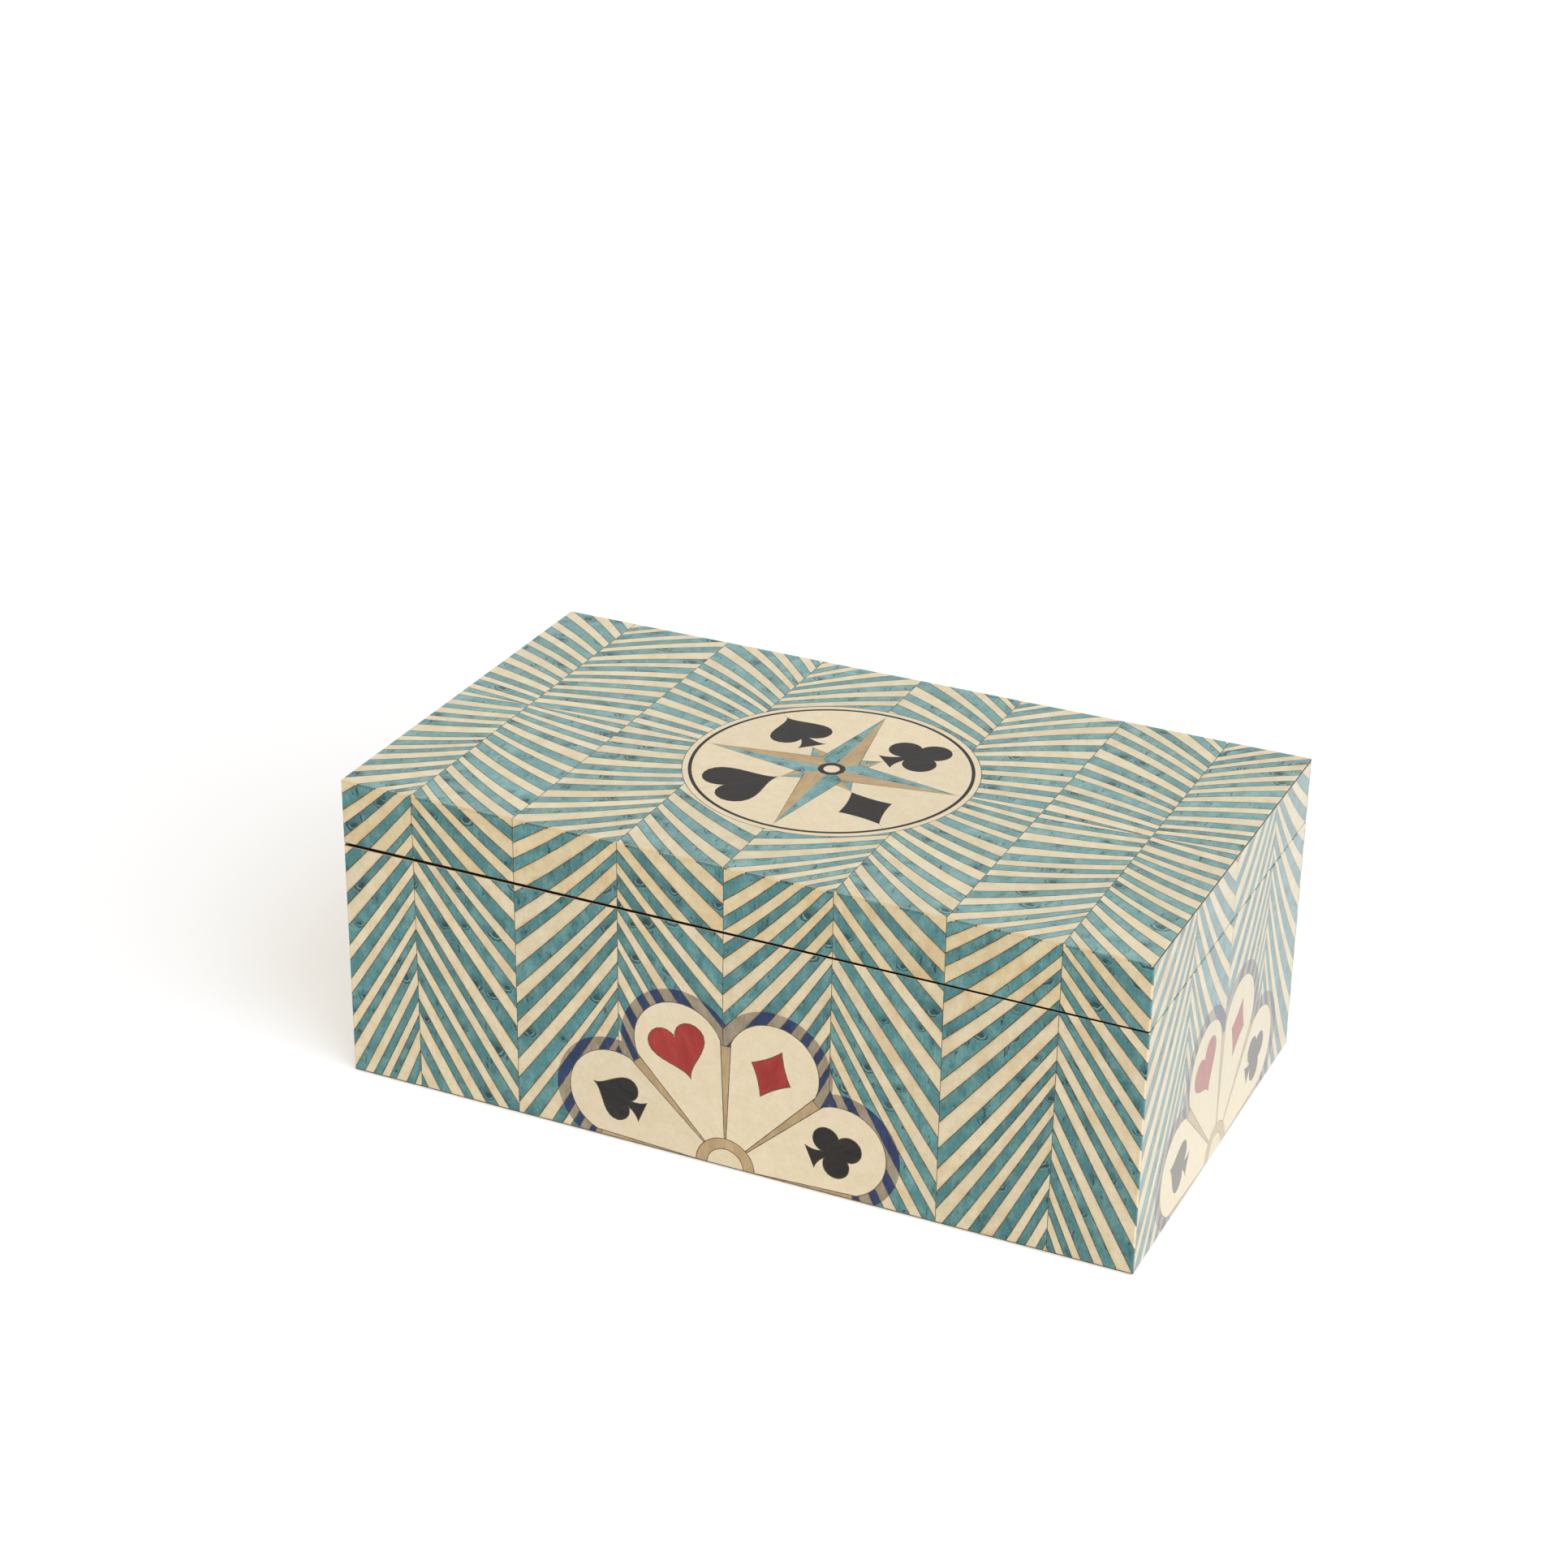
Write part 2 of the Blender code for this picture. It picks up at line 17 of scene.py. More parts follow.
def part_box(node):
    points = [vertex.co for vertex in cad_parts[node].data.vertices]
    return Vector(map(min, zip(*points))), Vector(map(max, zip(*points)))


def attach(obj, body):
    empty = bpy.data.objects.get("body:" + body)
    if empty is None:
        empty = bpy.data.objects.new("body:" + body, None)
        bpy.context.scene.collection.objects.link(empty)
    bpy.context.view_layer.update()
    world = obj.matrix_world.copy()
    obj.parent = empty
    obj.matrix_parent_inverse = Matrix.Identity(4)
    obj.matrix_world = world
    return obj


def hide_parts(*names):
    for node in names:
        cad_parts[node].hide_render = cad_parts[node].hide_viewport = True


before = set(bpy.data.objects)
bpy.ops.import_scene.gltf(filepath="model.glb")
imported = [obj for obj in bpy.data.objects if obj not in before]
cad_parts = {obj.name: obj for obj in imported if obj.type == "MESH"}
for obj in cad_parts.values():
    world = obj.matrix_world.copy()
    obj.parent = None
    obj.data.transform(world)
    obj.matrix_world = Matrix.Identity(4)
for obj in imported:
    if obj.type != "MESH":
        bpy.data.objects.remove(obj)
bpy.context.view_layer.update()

# Sizes of the box, from the frame
top_low, top_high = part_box("lid_top_veneer")
half_length = top_high.x
half_depth = top_high.y
box_height = top_high.z
veneer_thickness = top_high.z - top_low.z
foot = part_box("front_veneer")[0].z
seam_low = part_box("front_veneer")[1].z
seam_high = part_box("lid_front_veneer")[0].z

# Rounding of the outer edges, and of those along the seam
edge_round = 0.0004
seam_round = 0.0003
top_end_round = 0.0003
round_steps = 4
contact_gap = 0.00002
hinge_clearance = 0.0003

# Bands of the chevrons, and the strips that fan out in them
band_width = 0.0308
first_apex = 0.0217
side_band_width = 0.0329
side_first_apex = 0.0331
strip_width = 0.0033
strip_growth = 0.0215
front_narrow_share = 0.69
side_narrow_share = 0.65
lid_curve = 0.36
front_curve = 0.05
side_curve = 0.22
curve_fade = 0.12
uneven_share = 0.26
cream_share = 1.06
strip_steps = 9
strip_turn = 7
sliver = 0.00003
weld_distance = 0.000001
in_millimetres = 1000.0
least_stretch = 0.4

# Lines of glue, and the bands along the panels' edges, whose widths are those at their two ends
front_line = 0.00024
top_line = 0.00021
band_line = 0.00018
base_line = (0.0003, 0.0003)
# The near-black seam bands below are painted shade: the dark of the gap between lid and body
lid_seam_painted_shade = (0.00054, 0.00036)
end_seam_painted_shade = (0.00022, 0.00022)
body_seam_painted_shade = (0.00034, 0.00008)
seam_edge = (0.0005, 0.0001)
top_edge_line = (0.00009, 0.00009)
top_rim_line = (0.00022, 0.00022)
top_hem_line = (0.00012, 0.00012)

# Half round inlay on the front and on the two ends
patera_radius = 0.036
petal_share = 0.89
hub_radius = 0.0085
shadow_width = 0.004
petal_start = 0.002
patera_rim = 0.001
hub_eye_share = 0.62
patera_pip = 0.0155
patera_pip_radius = 0.0345

# Round inlay on the lid
medallion_radius = 0.0405
stringing_radius = 0.0389
stringing_width = 0.0009
stringing_line = 0.00005
sector_line = 0.00008
long_ray, long_waist = 0.0366, 0.0078
short_ray, short_waist = 0.0142, 0.0066
star_boss, star_eye = 0.0036, 0.0022
medallion_pip = 0.0196
medallion_pip_radius = 0.0252
medallion_pip_line = 0.00012

# Dark eyes in the dyed wood. A cup has a radius, a width, a strength, and may be pale
eye_spacing = 0.0095
eye_share = 0.55
eye_bend = 0.0013
eye_least, eye_spread = 0.7, 0.75
eye_squash = 1.25
eye_patch, patch_strength = (0.0036, 0.0006), 0.65
eye_heart, heart_strength = (0.00095, 0.00045), 0.7
eye_cups = ((0.0009, 0.00032, 0.75, False), (0.0013, 0.0003, 0.7, True),
            (0.00175, 0.00046, 0.65, False), (0.00225, 0.00036, 0.35, True))
cup_arc = (0.3, -0.5)
cup_core = 0.3

# Figure of each material: the noise's size, its stretch along X, Y and Z, its detail and roughness
even = (1.0, 1.0, 1.0)
figures = {
    "dye clouds": (0.0046, (1.0, 1.6, 1.0), 3.0, 0.55),
    "dye shade": (0.004, (1.0, 1.7, 1.0), 4.0, 0.62),
    "dyed streaks": (0.00034, (1.0, 12.0, 1.0), 3.0, 0.65),
    "dyed specks": (0.00055, (1.0, 2.2, 1.0)),
    "strokes": (0.0008, (1.0, 6.0, 1.0), 1.0),
    "pale clouds": (0.004, (1.0, 1.5, 1.0), 4.0, 0.6),
    "warm patches": (0.0105, (1.0, 1.4, 1.0), 3.0, 0.6),
    "ripple": (0.0009, (4.0, 1.0, 1.0), 1.0),
    "pale streaks": (0.00028, (1.0, 14.0, 1.0)),
    "blots": (0.0013, (1.0, 1.6, 1.0), 3.0, 0.6),
    "plain clouds": (0.003, (1.0, 3.0, 1.0), 3.0),
    "plain streaks": (0.00026, (1.0, 14.0, 1.0)),
    "glue": (0.0018, even, 3.0),
    "brushed nap": (0.014, (1.0, 1.7, 1.2), 3.0, 0.55),
    "brush marks": (0.00012, (30.0, 1.0, 1.0)),
    "tarnish": (0.0035, even, 4.0, 0.6),
}
board_stretch = 22.0
stroke_bend_size, stroke_bend = 0.0022, 0.0016

dice = random.Random(11)


class Graph:
    """The nodes of a material or of the world, each added and linked in one call."""

    def __init__(self, owner):
        owner.use_nodes = True
        self.owner, self.tree = owner, owner.node_tree

    def add(self, kind, inputs=(), output=0, **settings):
        """Add a node and return one of its outputs."""
        node = self.tree.nodes.new("ShaderNode" + kind)
        for name, value in settings.items():
            setattr(node, name, value)
        for name, value in dict(inputs).items():
            self.put(node.inputs[name], value)
        return node.outputs[output]

    def put(self, socket, value):
        """Link a socket to another node's output, or set it."""
        if isinstance(value, bpy.types.NodeSocket):
            self.tree.links.new(value, socket)
        else:
            socket.default_value = value

    def math(self, operation, first, second=0.0, third=0.0):
        return self.add("Math", {0: first, 1: second, 2: third}, operation=operation)

    def times(self, first, second):
        return self.math("MULTIPLY", first, second)

    def vector(self, operation, first, second=(0.0, 0.0, 0.0), output=0):
        return self.add("VectorMath", {0: first, 1: second}, output, operation=operation)

    def noise(self, place, size, stretch=even, detail=2.0, roughness=0.5, output=0):
        """Noise whose features have the given size, longer where the stretch is above one."""
        scaled = self.vector("MULTIPLY", place, tuple(1.0 / (size * share) for share in stretch))
        inputs = {"Vector": scaled, "Scale": 1.0, "Detail": detail, "Roughness": roughness}
        return self.add("TexNoise", inputs, output)

    def figure(self, name, place):
        """Return one of the figures at a place."""
        return self.noise(place, *figures[name])

    def step(self, value, low, high):
        """Rise smoothly from 0 at low to 1 at high."""
        inputs = {"Value": value, "From Min": low, "From Max": high}
        return self.add("MapRange", inputs, interpolation_type="SMOOTHSTEP")

    def mix(self, share, *colours):
        """Mix two colours."""
        first, second = (colour if isinstance(colour, bpy.types.NodeSocket) else (*colour, 1.0)
                         for colour in colours)
        return self.add("Mix", {0: share, 6: first, 7: second}, 2, data_type="RGBA")

    def blend(self, first, first_share, second, second_share):
        """Add shares of two values."""
        return self.math("MULTIPLY_ADD", first, first_share, self.times(second, second_share))

    def scale(self, vector, factor):
        """Multiply a vector or a colour by a number."""
        return self.add("VectorMath", {0: vector, "Scale": factor}, operation="SCALE")

    def bump(self, height, distance):
        return self.add("Bump", {"Height": height, "Distance": distance, "Strength": 1.0})

    def finish(self, **sockets):
        """Set the shader's sockets, named with underscores for spaces, and return the material."""
        shader = self.tree.nodes["Principled BSDF"]
        for name, value in sockets.items():
            self.put(shader.inputs[name.replace("_", " ")], value)
        return self.owner


def new_graph(name):
    """Return the nodes of a new material."""
    return Graph(bpy.data.materials.new(name))


def toned(colour, factor):
    """Return a colour made lighter or darker."""
    return tuple(factor * share for share in colour)


def grain_of(graph):
    """Return the place on a piece of veneer, whose grain runs along Y, and the piece's own number."""
    place = graph.add("Attribute", output=1, attribute_name="grain")
    number = graph.add("SeparateXYZ", {0: place}, 2)
    return graph.vector("MULTIPLY", place, (1.0, 1.0, 0.0)), number


def cloud(graph, place, dark, mid, light):
    """Return the dye's clouds and the noise that their darker parts come from."""
    colour = graph.mix(graph.step(graph.figure("dye clouds", place), 0.4, 0.68), mid, light)
    shade = graph.figure("dye shade", place)
    return graph.mix(graph.times(graph.step(shade, 0.52, 0.74), 0.7), colour, dark), shade


def bent_place(graph, place, size, amount):
    """Return a place moved about by noise."""
    shift = graph.noise(place, size, output=1)
    centred = graph.vector("SUBTRACT", shift, (0.5, 0.5, 0.5))
    return graph.vector("ADD", place, graph.scale(centred, amount))


def eye_marks(graph, local, dark, light):
    """Return an eye's marks, the lowest first, each with its strength and its colour."""
    height = graph.add("SeparateXYZ", {0: local}, 1)
    away = graph.vector("LENGTH", local, output=1)
    below = graph.step(graph.math("DIVIDE", height, graph.math("MAXIMUM", away, 0.0001)), *cup_arc)
    darkest, palest = toned(dark, 0.3), toned(light, 1.35)
    marks = [(graph.step(away, *eye_patch), patch_strength, dark)]
    for radius, width, strength, pale in eye_cups:
        off = graph.math("ABSOLUTE", graph.math("SUBTRACT", away, radius))
        cup = graph.times(graph.step(off, width, width * cup_core), below)
        marks.append((cup, strength, palest if pale else darkest))
    return marks + [(graph.step(away, *eye_heart), heart_strength, darkest)]


def birds_eyes(graph, place, colour, dark, light, clearness):
    """Add the eyes of bird's-eye wood, in some of the cells of a loose grid.

    Each has a dark heart in a darker patch, and pale and dark cups in turn below it."""
    bent = bent_place(graph, place, eye_bend, eye_bend)
    grid = {"Vector": bent, "Scale": 1.0 / eye_spacing}
    cells = graph.add("TexVoronoi", grid, voronoi_dimensions="2D").node.outputs
    chance = graph.add("SeparateXYZ", {0: cells["Color"]})
    there = graph.step(chance, 1.0 - eye_share, 1.02 - eye_share)
    size = graph.math("MULTIPLY_ADD", chance.node.outputs[1], eye_spread, eye_least)
    local = graph.vector("SUBTRACT", bent, cells["Position"])
    local = graph.scale(local, graph.math("DIVIDE", 1.0, size))
    local = graph.vector("MULTIPLY", local, (1.0, eye_squash, 1.0))
    for mark, strength, tone in eye_marks(graph, local, dark, light):
        share = graph.times(graph.times(mark, there), strength * clearness)
        colour = graph.mix(share, colour, tone)
    return colour


def teal_colour(graph, dark, mid, light, contrast):
    """Return dyed bird's-eye veneer: cloudy, finely streaked, with dark eyes and strokes."""
    place, number = grain_of(graph)
    colour, shade = cloud(graph, place, dark, mid, light)
    specks = graph.figure("dyed specks", place)
    fine = graph.blend(graph.figure("dyed streaks", place), 0.7, specks, 0.6)
    colour = graph.scale(colour, graph.math("MULTIPLY_ADD", fine, contrast, 1.0 - 0.65 * contrast))
    lines = graph.figure("strokes", bent_place(graph, place, stroke_bend_size, stroke_bend))
    strokes = graph.times(graph.step(lines, 0.635, 0.7), graph.step(shade, 0.46, 0.57))
    colour = graph.mix(graph.times(strokes, 0.85), colour, toned(dark, 0.4))
    colour = birds_eyes(graph, place, colour, dark, light, min(contrast, 1.0))
    return graph.scale(colour, graph.math("MULTIPLY_ADD", number, 0.22, 0.89))


def cream_colour(graph, pale, mid, warm, warmth, contrast):
    """Return pale veneer with warm patches and edges, a ripple across the grain and fine streaks."""
    place, number = grain_of(graph)
    colour = graph.mix(graph.step(graph.figure("pale clouds", place), 0.3, 0.7), pale, mid)
    patches = graph.figure("warm patches", place)
    colour = graph.mix(graph.times(graph.step(patches, 0.5, 0.76), warmth), colour, warm)
    across = graph.add("Attribute", output=2, attribute_name="across")
    toasted = graph.step(graph.math("ABSOLUTE", across), 0.5, 1.1)
    toasted = graph.times(toasted, graph.step(patches, 0.28, 0.6))
    colour = graph.mix(graph.times(toasted, 1.25 * warmth), colour, toned(warm, 0.94))
    fine = graph.blend(graph.figure("ripple", place), 0.1, graph.figure("pale streaks", place), 0.16)
    blots = graph.step(graph.figure("blots", place), 0.72, 0.5)
    fine = graph.math("MULTIPLY_ADD", blots, 0.06, fine)
    colour = graph.scale(colour, graph.math("MULTIPLY_ADD", fine, contrast, 1.0 - 0.18 * contrast))
    return graph.scale(colour, graph.math("MULTIPLY_ADD", number, 0.08, 0.96))


def plain_colour(graph, dark, light):
    """Return evenly dyed veneer with fine streaks."""
    place, number = grain_of(graph)
    streaks = graph.figure("plain streaks", place)
    share = graph.blend(graph.figure("plain clouds", place), 0.5, streaks, 0.5)
    colour = graph.mix(graph.step(share, 0.35, 0.65), dark, light)
    return graph.scale(colour, graph.math("MULTIPLY_ADD", number, 0.1, 0.95))


def glue_colour(graph, dark, light):
    """Return the stained glue in the joints, darker in some places than in others."""
    share = graph.figure("glue", graph.add("TexCoord", output=3))
    return graph.mix(graph.step(share, 0.36, 0.64), dark, light)


def board_wood(name, dark, light, along, roughness):
    """Return unlacquered wood whose grain runs along one axis."""
    graph = new_graph(name)
    place = graph.add("TexCoord", output=3)
    stretch = tuple(board_stretch if axis == along else 1.0 for axis in "XYZ")
    streaks = graph.noise(place, 0.0007, stretch, 3.0, 0.6)
    share = graph.blend(graph.noise(place, 0.006, stretch), 0.6, streaks, 0.4)
    return graph.finish(Base_Color=graph.mix(graph.step(share, 0.34, 0.66), dark, light),
                        Roughness=roughness, Normal=graph.bump(streaks, 0.00005))


def nap(name, dark, light, size, depth, sheen):
    """Return a short-haired cloth with brushed patches."""
    graph = new_graph(name)
    place = graph.add("TexCoord", output=3)
    hairs = graph.noise(place, size, detail=3.0, roughness=0.7)
    share = graph.blend(hairs, 0.55, graph.figure("brushed nap", place), 0.45)
    return graph.finish(Base_Color=graph.mix(graph.step(share, 0.36, 0.64), dark, light),
                        Roughness=0.95, Sheen_Weight=sheen, Sheen_Roughness=0.45,
                        Normal=graph.bump(hairs, depth))


def brushed_brass():
    """Return brass with fine brush marks along the hinge and a little tarnish."""
    graph = new_graph("brass")
    place = graph.add("TexCoord", output=3)
    brush = graph.figure("brush marks", place)
    dull = graph.step(graph.figure("tarnish", place), 0.45, 0.75)
    rough = graph.math("MULTIPLY_ADD", brush, 0.2, 0.18)
    return graph.finish(Base_Color=graph.mix(dull, (0.83, 0.6, 0.27), (0.56, 0.36, 0.14)),
                        Metallic=1.0, Roughness=rough, Normal=graph.bump(brush, 0.00001))


# Woods, as the way to make each one and its linear colours, with what else that way asks for
recipes = {
    "teal": (teal_colour, (0.022, 0.086, 0.092), (0.07, 0.207, 0.209), (0.128, 0.29, 0.282), 1.15),
    "pale_teal": (teal_colour, (0.04, 0.125, 0.13), (0.16, 0.318, 0.316), (0.235, 0.4, 0.392), 0.8),
    "end_teal": (teal_colour, (0.023, 0.094, 0.109), (0.07, 0.226, 0.248), (0.14, 0.318, 0.337), 1.00),
    "cream": (cream_colour, (0.735, 0.638, 0.44), (0.675, 0.558, 0.355), (0.64, 0.45, 0.23),
              0.8, 1.3),
    "lid_cream": (cream_colour, (0.715, 0.602, 0.378), (0.656, 0.524, 0.3), (0.622, 0.42, 0.192),
                  0.8, 1.3),
    "top_cream": (cream_colour, (0.744, 0.66, 0.475), (0.683, 0.577, 0.383), (0.648, 0.465, 0.248),
                  0.36, 0.6),
    "card": (cream_colour, (0.765, 0.655, 0.465), (0.735, 0.615, 0.415), (0.69, 0.53, 0.32),
             0.35, 0.9),
    "tan": (plain_colour, (0.4, 0.27, 0.135), (0.52, 0.375, 0.205)),
    "taupe": (plain_colour, (0.235, 0.185, 0.12), (0.37, 0.305, 0.215)),
    "navy": (plain_colour, (0.008, 0.02, 0.075), (0.022, 0.048, 0.13)),
    "charcoal": (plain_colour, (0.007, 0.005, 0.004), (0.02, 0.016, 0.014)),
    "red": (plain_colour, (0.3, 0.018, 0.014), (0.42, 0.04, 0.03)),
    "line": (glue_colour, (0.028, 0.022, 0.012), (0.15, 0.104, 0.052)),
    "pale_line": (glue_colour, (0.03, 0.032, 0.026), (0.11, 0.098, 0.07)),
    # The near-black edge wood covers the sheets' sides; in the bands along the seam it is painted shade
    "edge": (glue_colour, (0.007, 0.004, 0.003), (0.022, 0.013, 0.008)),
}
# Woods in the shadows of the inlays
shaded = {"teal": "navy", "end_teal": "navy", "cream": "taupe", "line": "line"}
finishes = {
    "satin": {"Roughness": 0.3, "IOR": 1.4},
    "rubbed": {"Roughness": 0.36, "IOR": 1.25},
    "polished": {"Roughness": 0.3, "IOR": 1.5, "Coat_Weight": 1.0, "Coat_Roughness": 0.3},
    "raw": {"Roughness": 0.9, "IOR": 1.1},
}
# Darkening of the polished ends' colours: painted shade that offsets the stronger key light on the
# right end
polished_painted_shade = (0.84, 0.86, 0.83)
veneers = {}


def veneer(wood, finish):
    """Return the material of a wood under a finish."""
    if (wood, finish) not in veneers:
        graph = new_graph(wood + "_" + finish)
        make, *colours = recipes[wood]
        colour = make(graph, *colours)
        if finish == "polished":
            # Painted shade: the polished ends' colours made darker
            colour = graph.vector("MULTIPLY", colour, polished_painted_shade)
        veneers[wood, finish] = graph.finish(Base_Color=colour, **finishes[finish])
    return veneers[wood, finish]


def signed_area(outline):
    """Return the area inside an outline, above zero if it runs anticlockwise."""
    pairs = zip(outline, outline[1:] + outline[:1])
    return sum(a[0] * b[1] - b[0] * a[1] for a, b in pairs) / 2


class Piece:
    """One piece of veneer in a panel. Where pieces overlap, the one in the highest layer shows."""

    def __init__(self, outline, wood, layer, turn=0.0):
        self.outline = outline if signed_area(outline) > 0 else outline[::-1]
        self.wood = wood
        self.layer = layer
        self.turn = Matrix.Rotation(math.radians(-turn), 2)
        self.sample = Vector((dice.random(), dice.random()))
        self.number = dice.random()

    def grain(self, place):
        """Return the place on the veneer that the piece was cut from, and the piece's number."""
        return (*(self.turn @ Vector(place) + self.sample), self.number)

    def across(self, place):
        """Return how near a place is to the piece's long edges, from 0 midway to 1 at the edges."""
        return 0.0


class Strip(Piece):
    """One strip of a fan. The plan gives the way that x runs, the level line and the way from it."""

    def __init__(self, fan, index, plan, line, wood):
        self.fan, self.index, self.plan = fan, index, plan
        way, level_line, side = plan
        inner, outer = fan.strip(index, line)
        outline = [(way * x, level_line + side * s) for x, s in inner + outer[::-1]]
        super().__init__(outline, wood, 0, dice.uniform(-strip_turn, strip_turn))

    def across(self, place):
        way, level_line, side = self.plan
        x, distance = way * place[0], side * (place[1] - level_line)
        near, far = (self.fan.level(self.index + i, x)[0] for i in (0, 1))
        return (2 * distance - near - far) / max(far - near, sliver)


class Panel:
    """A flat sheet of veneer with rounded edges. Its plan is the sheet with those edges unrolled."""

    def __init__(self, node, finish, origin, across, up, low, high, rounds, notches=((), ())):
        self.node, self.finish = node, finish
        self.origin, self.across, self.up = Vector(origin), Vector(across), Vector(up)
        self.outward = self.across.cross(self.up)
        self.low, self.high, self.rounds, self.notches = low, high, rounds, notches
        self.pieces = []
        self.hem = {}

    def reach(self, axis):
        """Return where the plan starts and ends."""
        unrolled = math.pi / 2 - 1
        before, after = self.rounds[axis]
        return self.low[axis] - before * unrolled, self.high[axis] + after * unrolled

    def flat(self, axis):
        """Return where the flat part starts and ends."""
        before, after = self.rounds[axis]
        return self.low[axis] + before, self.high[axis] - after

    def hem_start(self):
        """Return the level midway round the upper edge, past which a hem shows other woods."""
        return self.flat(1)[1] + self.rounds[1][1] * math.pi / 4

    def corner(self, side, level, start):
        """Return the plan's outline at one corner, an arc where both its edges are rounded."""
        radii = (self.rounds[0][side], self.rounds[1][level])
        if not all(radii):
            return [(self.reach(0)[side], self.reach(1)[level])]
        centre = (self.flat(0)[side], self.flat(1)[level])
        arc = circle(math.pi / 2, (0, 0), start, start + 90, round_steps)
        return [(centre[0] + radii[0] * x, centre[1] + radii[1] * y) for x, y in arc]

    def outline(self):
        """Return the plan's outline, anticlockwise from its lower left corner."""
        bottom, top = self.reach(1)
        points = self.corner(0, 0, 180)
        for start, end, depth in self.notches[0]:
            points += [(start, bottom), (start, depth), (end, depth), (end, bottom)]
        points += self.corner(1, 0, 270) + self.corner(1, 1, 0)
        for start, end, depth in reversed(self.notches[1]):
            points += [(end, top), (end, depth), (start, depth), (start, top)]
        return points + self.corner(0, 1, 90)

    def creases(self):
        """Return the lines in the plan along which the rounded edges are folded."""
        lines = []
        for axis in (0, 1):
            ends = self.reach(1 - axis)
            for side, sign in ((0, -1), (1, 1)):
                radius = self.rounds[axis][side]
                for i in range(round_steps if radius else 0):
                    level = self.flat(axis)[side] + sign * radius * math.pi / 2 * i / round_steps
                    lines.append([(end, level) if axis else (level, end) for end in ends])
        return lines

    def bend(self, axis, value):
        """Return where a place's bend starts, how far it turns and its radius."""
        for radius, start, side in zip(self.rounds[axis], self.flat(axis), (-1, 1)):
            if radius and side * (value - start) > 0:
                return start, (value - start) / radius, radius
        return value, 0.0, 0.0

    def place(self, plan):
        """Return a point of the plan on the finished sheet, and the way the sheet faces there."""
        (a, turn_a, round_a), (b, turn_b, round_b) = self.bend(0, plan[0]), self.bend(1, plan[1])
        turn = math.hypot(turn_a, turn_b)
        facing, depth = self.outward, 0.0
        if turn > 0:
            share_a, share_b = turn_a / turn, turn_b / turn
            turn = min(turn, math.pi / 2)
            a += round_a * math.sin(turn) * share_a
            b += round_b * math.sin(turn) * share_b
            depth = (round_a * share_a ** 2 + round_b * share_b ** 2) * (1 - math.cos(turn))
            sideways = self.across * share_a + self.up * share_b
            facing = self.outward * math.cos(turn) + sideways * math.sin(turn)
        return self.origin + self.across * a + self.up * b - self.outward * depth, facing


def within(places, outline):
    """Return which of the places are inside an outline."""
    found = np.zeros(len(places), dtype=bool)
    ends = np.array(outline)
    near = np.all((places > ends.min(axis=0)) & (places < ends.max(axis=0)), axis=1)
    x, y = places[near].T
    inside = np.zeros(len(x), dtype=bool)
    for (ax, ay), (bx, by) in zip(outline, outline[1:] + outline[:1]):
        if ay != by:
            inside ^= ((ay > y) != (by > y)) & (x < ax + (y - ay) * (bx - ax) / (by - ay))
    found[near] = inside
    return found


def cut(panel):
    """Return the corners and triangles that a panel's lines cut its plan into."""
    points, faces, edges = [], [], []
    for outline in [panel.outline()] + [piece.outline for piece in panel.pieces]:
        faces.append(list(range(len(points), len(points) + len(outline))))
        points += [Vector(point) * in_millimetres for point in outline]
    for line in panel.creases():
        edges.append((len(points), len(points) + 1))
        points += [Vector(point) * in_millimetres for point in line]
    made = delaunay_2d_cdt(points, edges, faces, 0, weld_distance * in_millimetres, False)
    corners = np.array(made[0]) / in_millimetres
    triangles = np.array(made[2])
    return corners, triangles[within(corners[triangles].mean(axis=1), panel.outline())]


def cover(panel, places, line):
    """Return the number of the piece that shows at each place, or -1, and its wood."""
    top = np.full(len(places), -1)
    layers, shadows = np.full((2, len(places)), -1.0)
    for number, piece in enumerate(panel.pieces):
        covered = within(places, piece.outline)
        if piece.wood == "shadow":
            shadows[covered] = np.maximum(shadows[covered], piece.layer)
        else:
            higher = covered & (piece.layer > layers)
            top[higher], layers[higher] = number, piece.layer
    looks = []
    for number, layer, shadow, y in zip(top, layers, shadows, places[:, 1]):
        wood = panel.pieces[number].wood if number >= 0 else "line"
        wood = line if wood == "line" else wood
        wood = shaded[wood] if shadow > layer else wood
        looks.append(panel.hem.get(wood, wood) if abs(y) > panel.hem_start() else wood)
    return top, looks


def close_sheet(shape, panel, front, edge_index):
    """Give the sheet its sides and its back."""
    rim = [edge for edge in shape.edges if edge.is_boundary]
    for vert in bmesh.ops.extrude_edge_only(shape, edges=rim)["geom"]:
        if isinstance(vert, bmesh.types.BMVert):
            depth = (panel.origin - vert.co).dot(panel.outward)
            vert.co -= panel.outward * (veneer_thickness - depth)
    lower = [edge for edge in shape.edges if edge.is_boundary]
    bmesh.ops.contextual_create(shape, geom=lower)
    for face in shape.faces:
        if not face[front]:
            face.material_index = edge_index


def set_normals(mesh):
    """Face each corner of the veneer's own surface as the sheet faces there."""
    facing = [value.vector.copy() for value in mesh.attributes["facing"].data]
    front = [value.value for value in mesh.attributes["front"].data]
    normals = [facing[mesh.loops[i].vertex_index] if front[polygon.index] else polygon.normal
               for polygon in mesh.polygons for i in polygon.loop_indices]
    for name in ("facing", "front"):
        mesh.attributes.remove(mesh.attributes[name])
    mesh.polygons.foreach_set("use_smooth", [True] * len(mesh.polygons))
    mesh.normals_split_custom_set(normals)


def body_of(node):
    """Return the body that a node's stand-in rides on."""
    return "lid" if node.startswith("lid_") else "case"


def add_object(name, data):
    """Put an object in the scene."""
    thing = bpy.data.objects.new(name, data)
    bpy.context.scene.collection.objects.link(thing)
    return thing


def add_mesh(name, shape):
    """Put an object made from a shape in the scene."""
    mesh = bpy.data.meshes.new(name)
    shape.to_mesh(mesh)
    shape.free()
    return add_object(name, mesh)


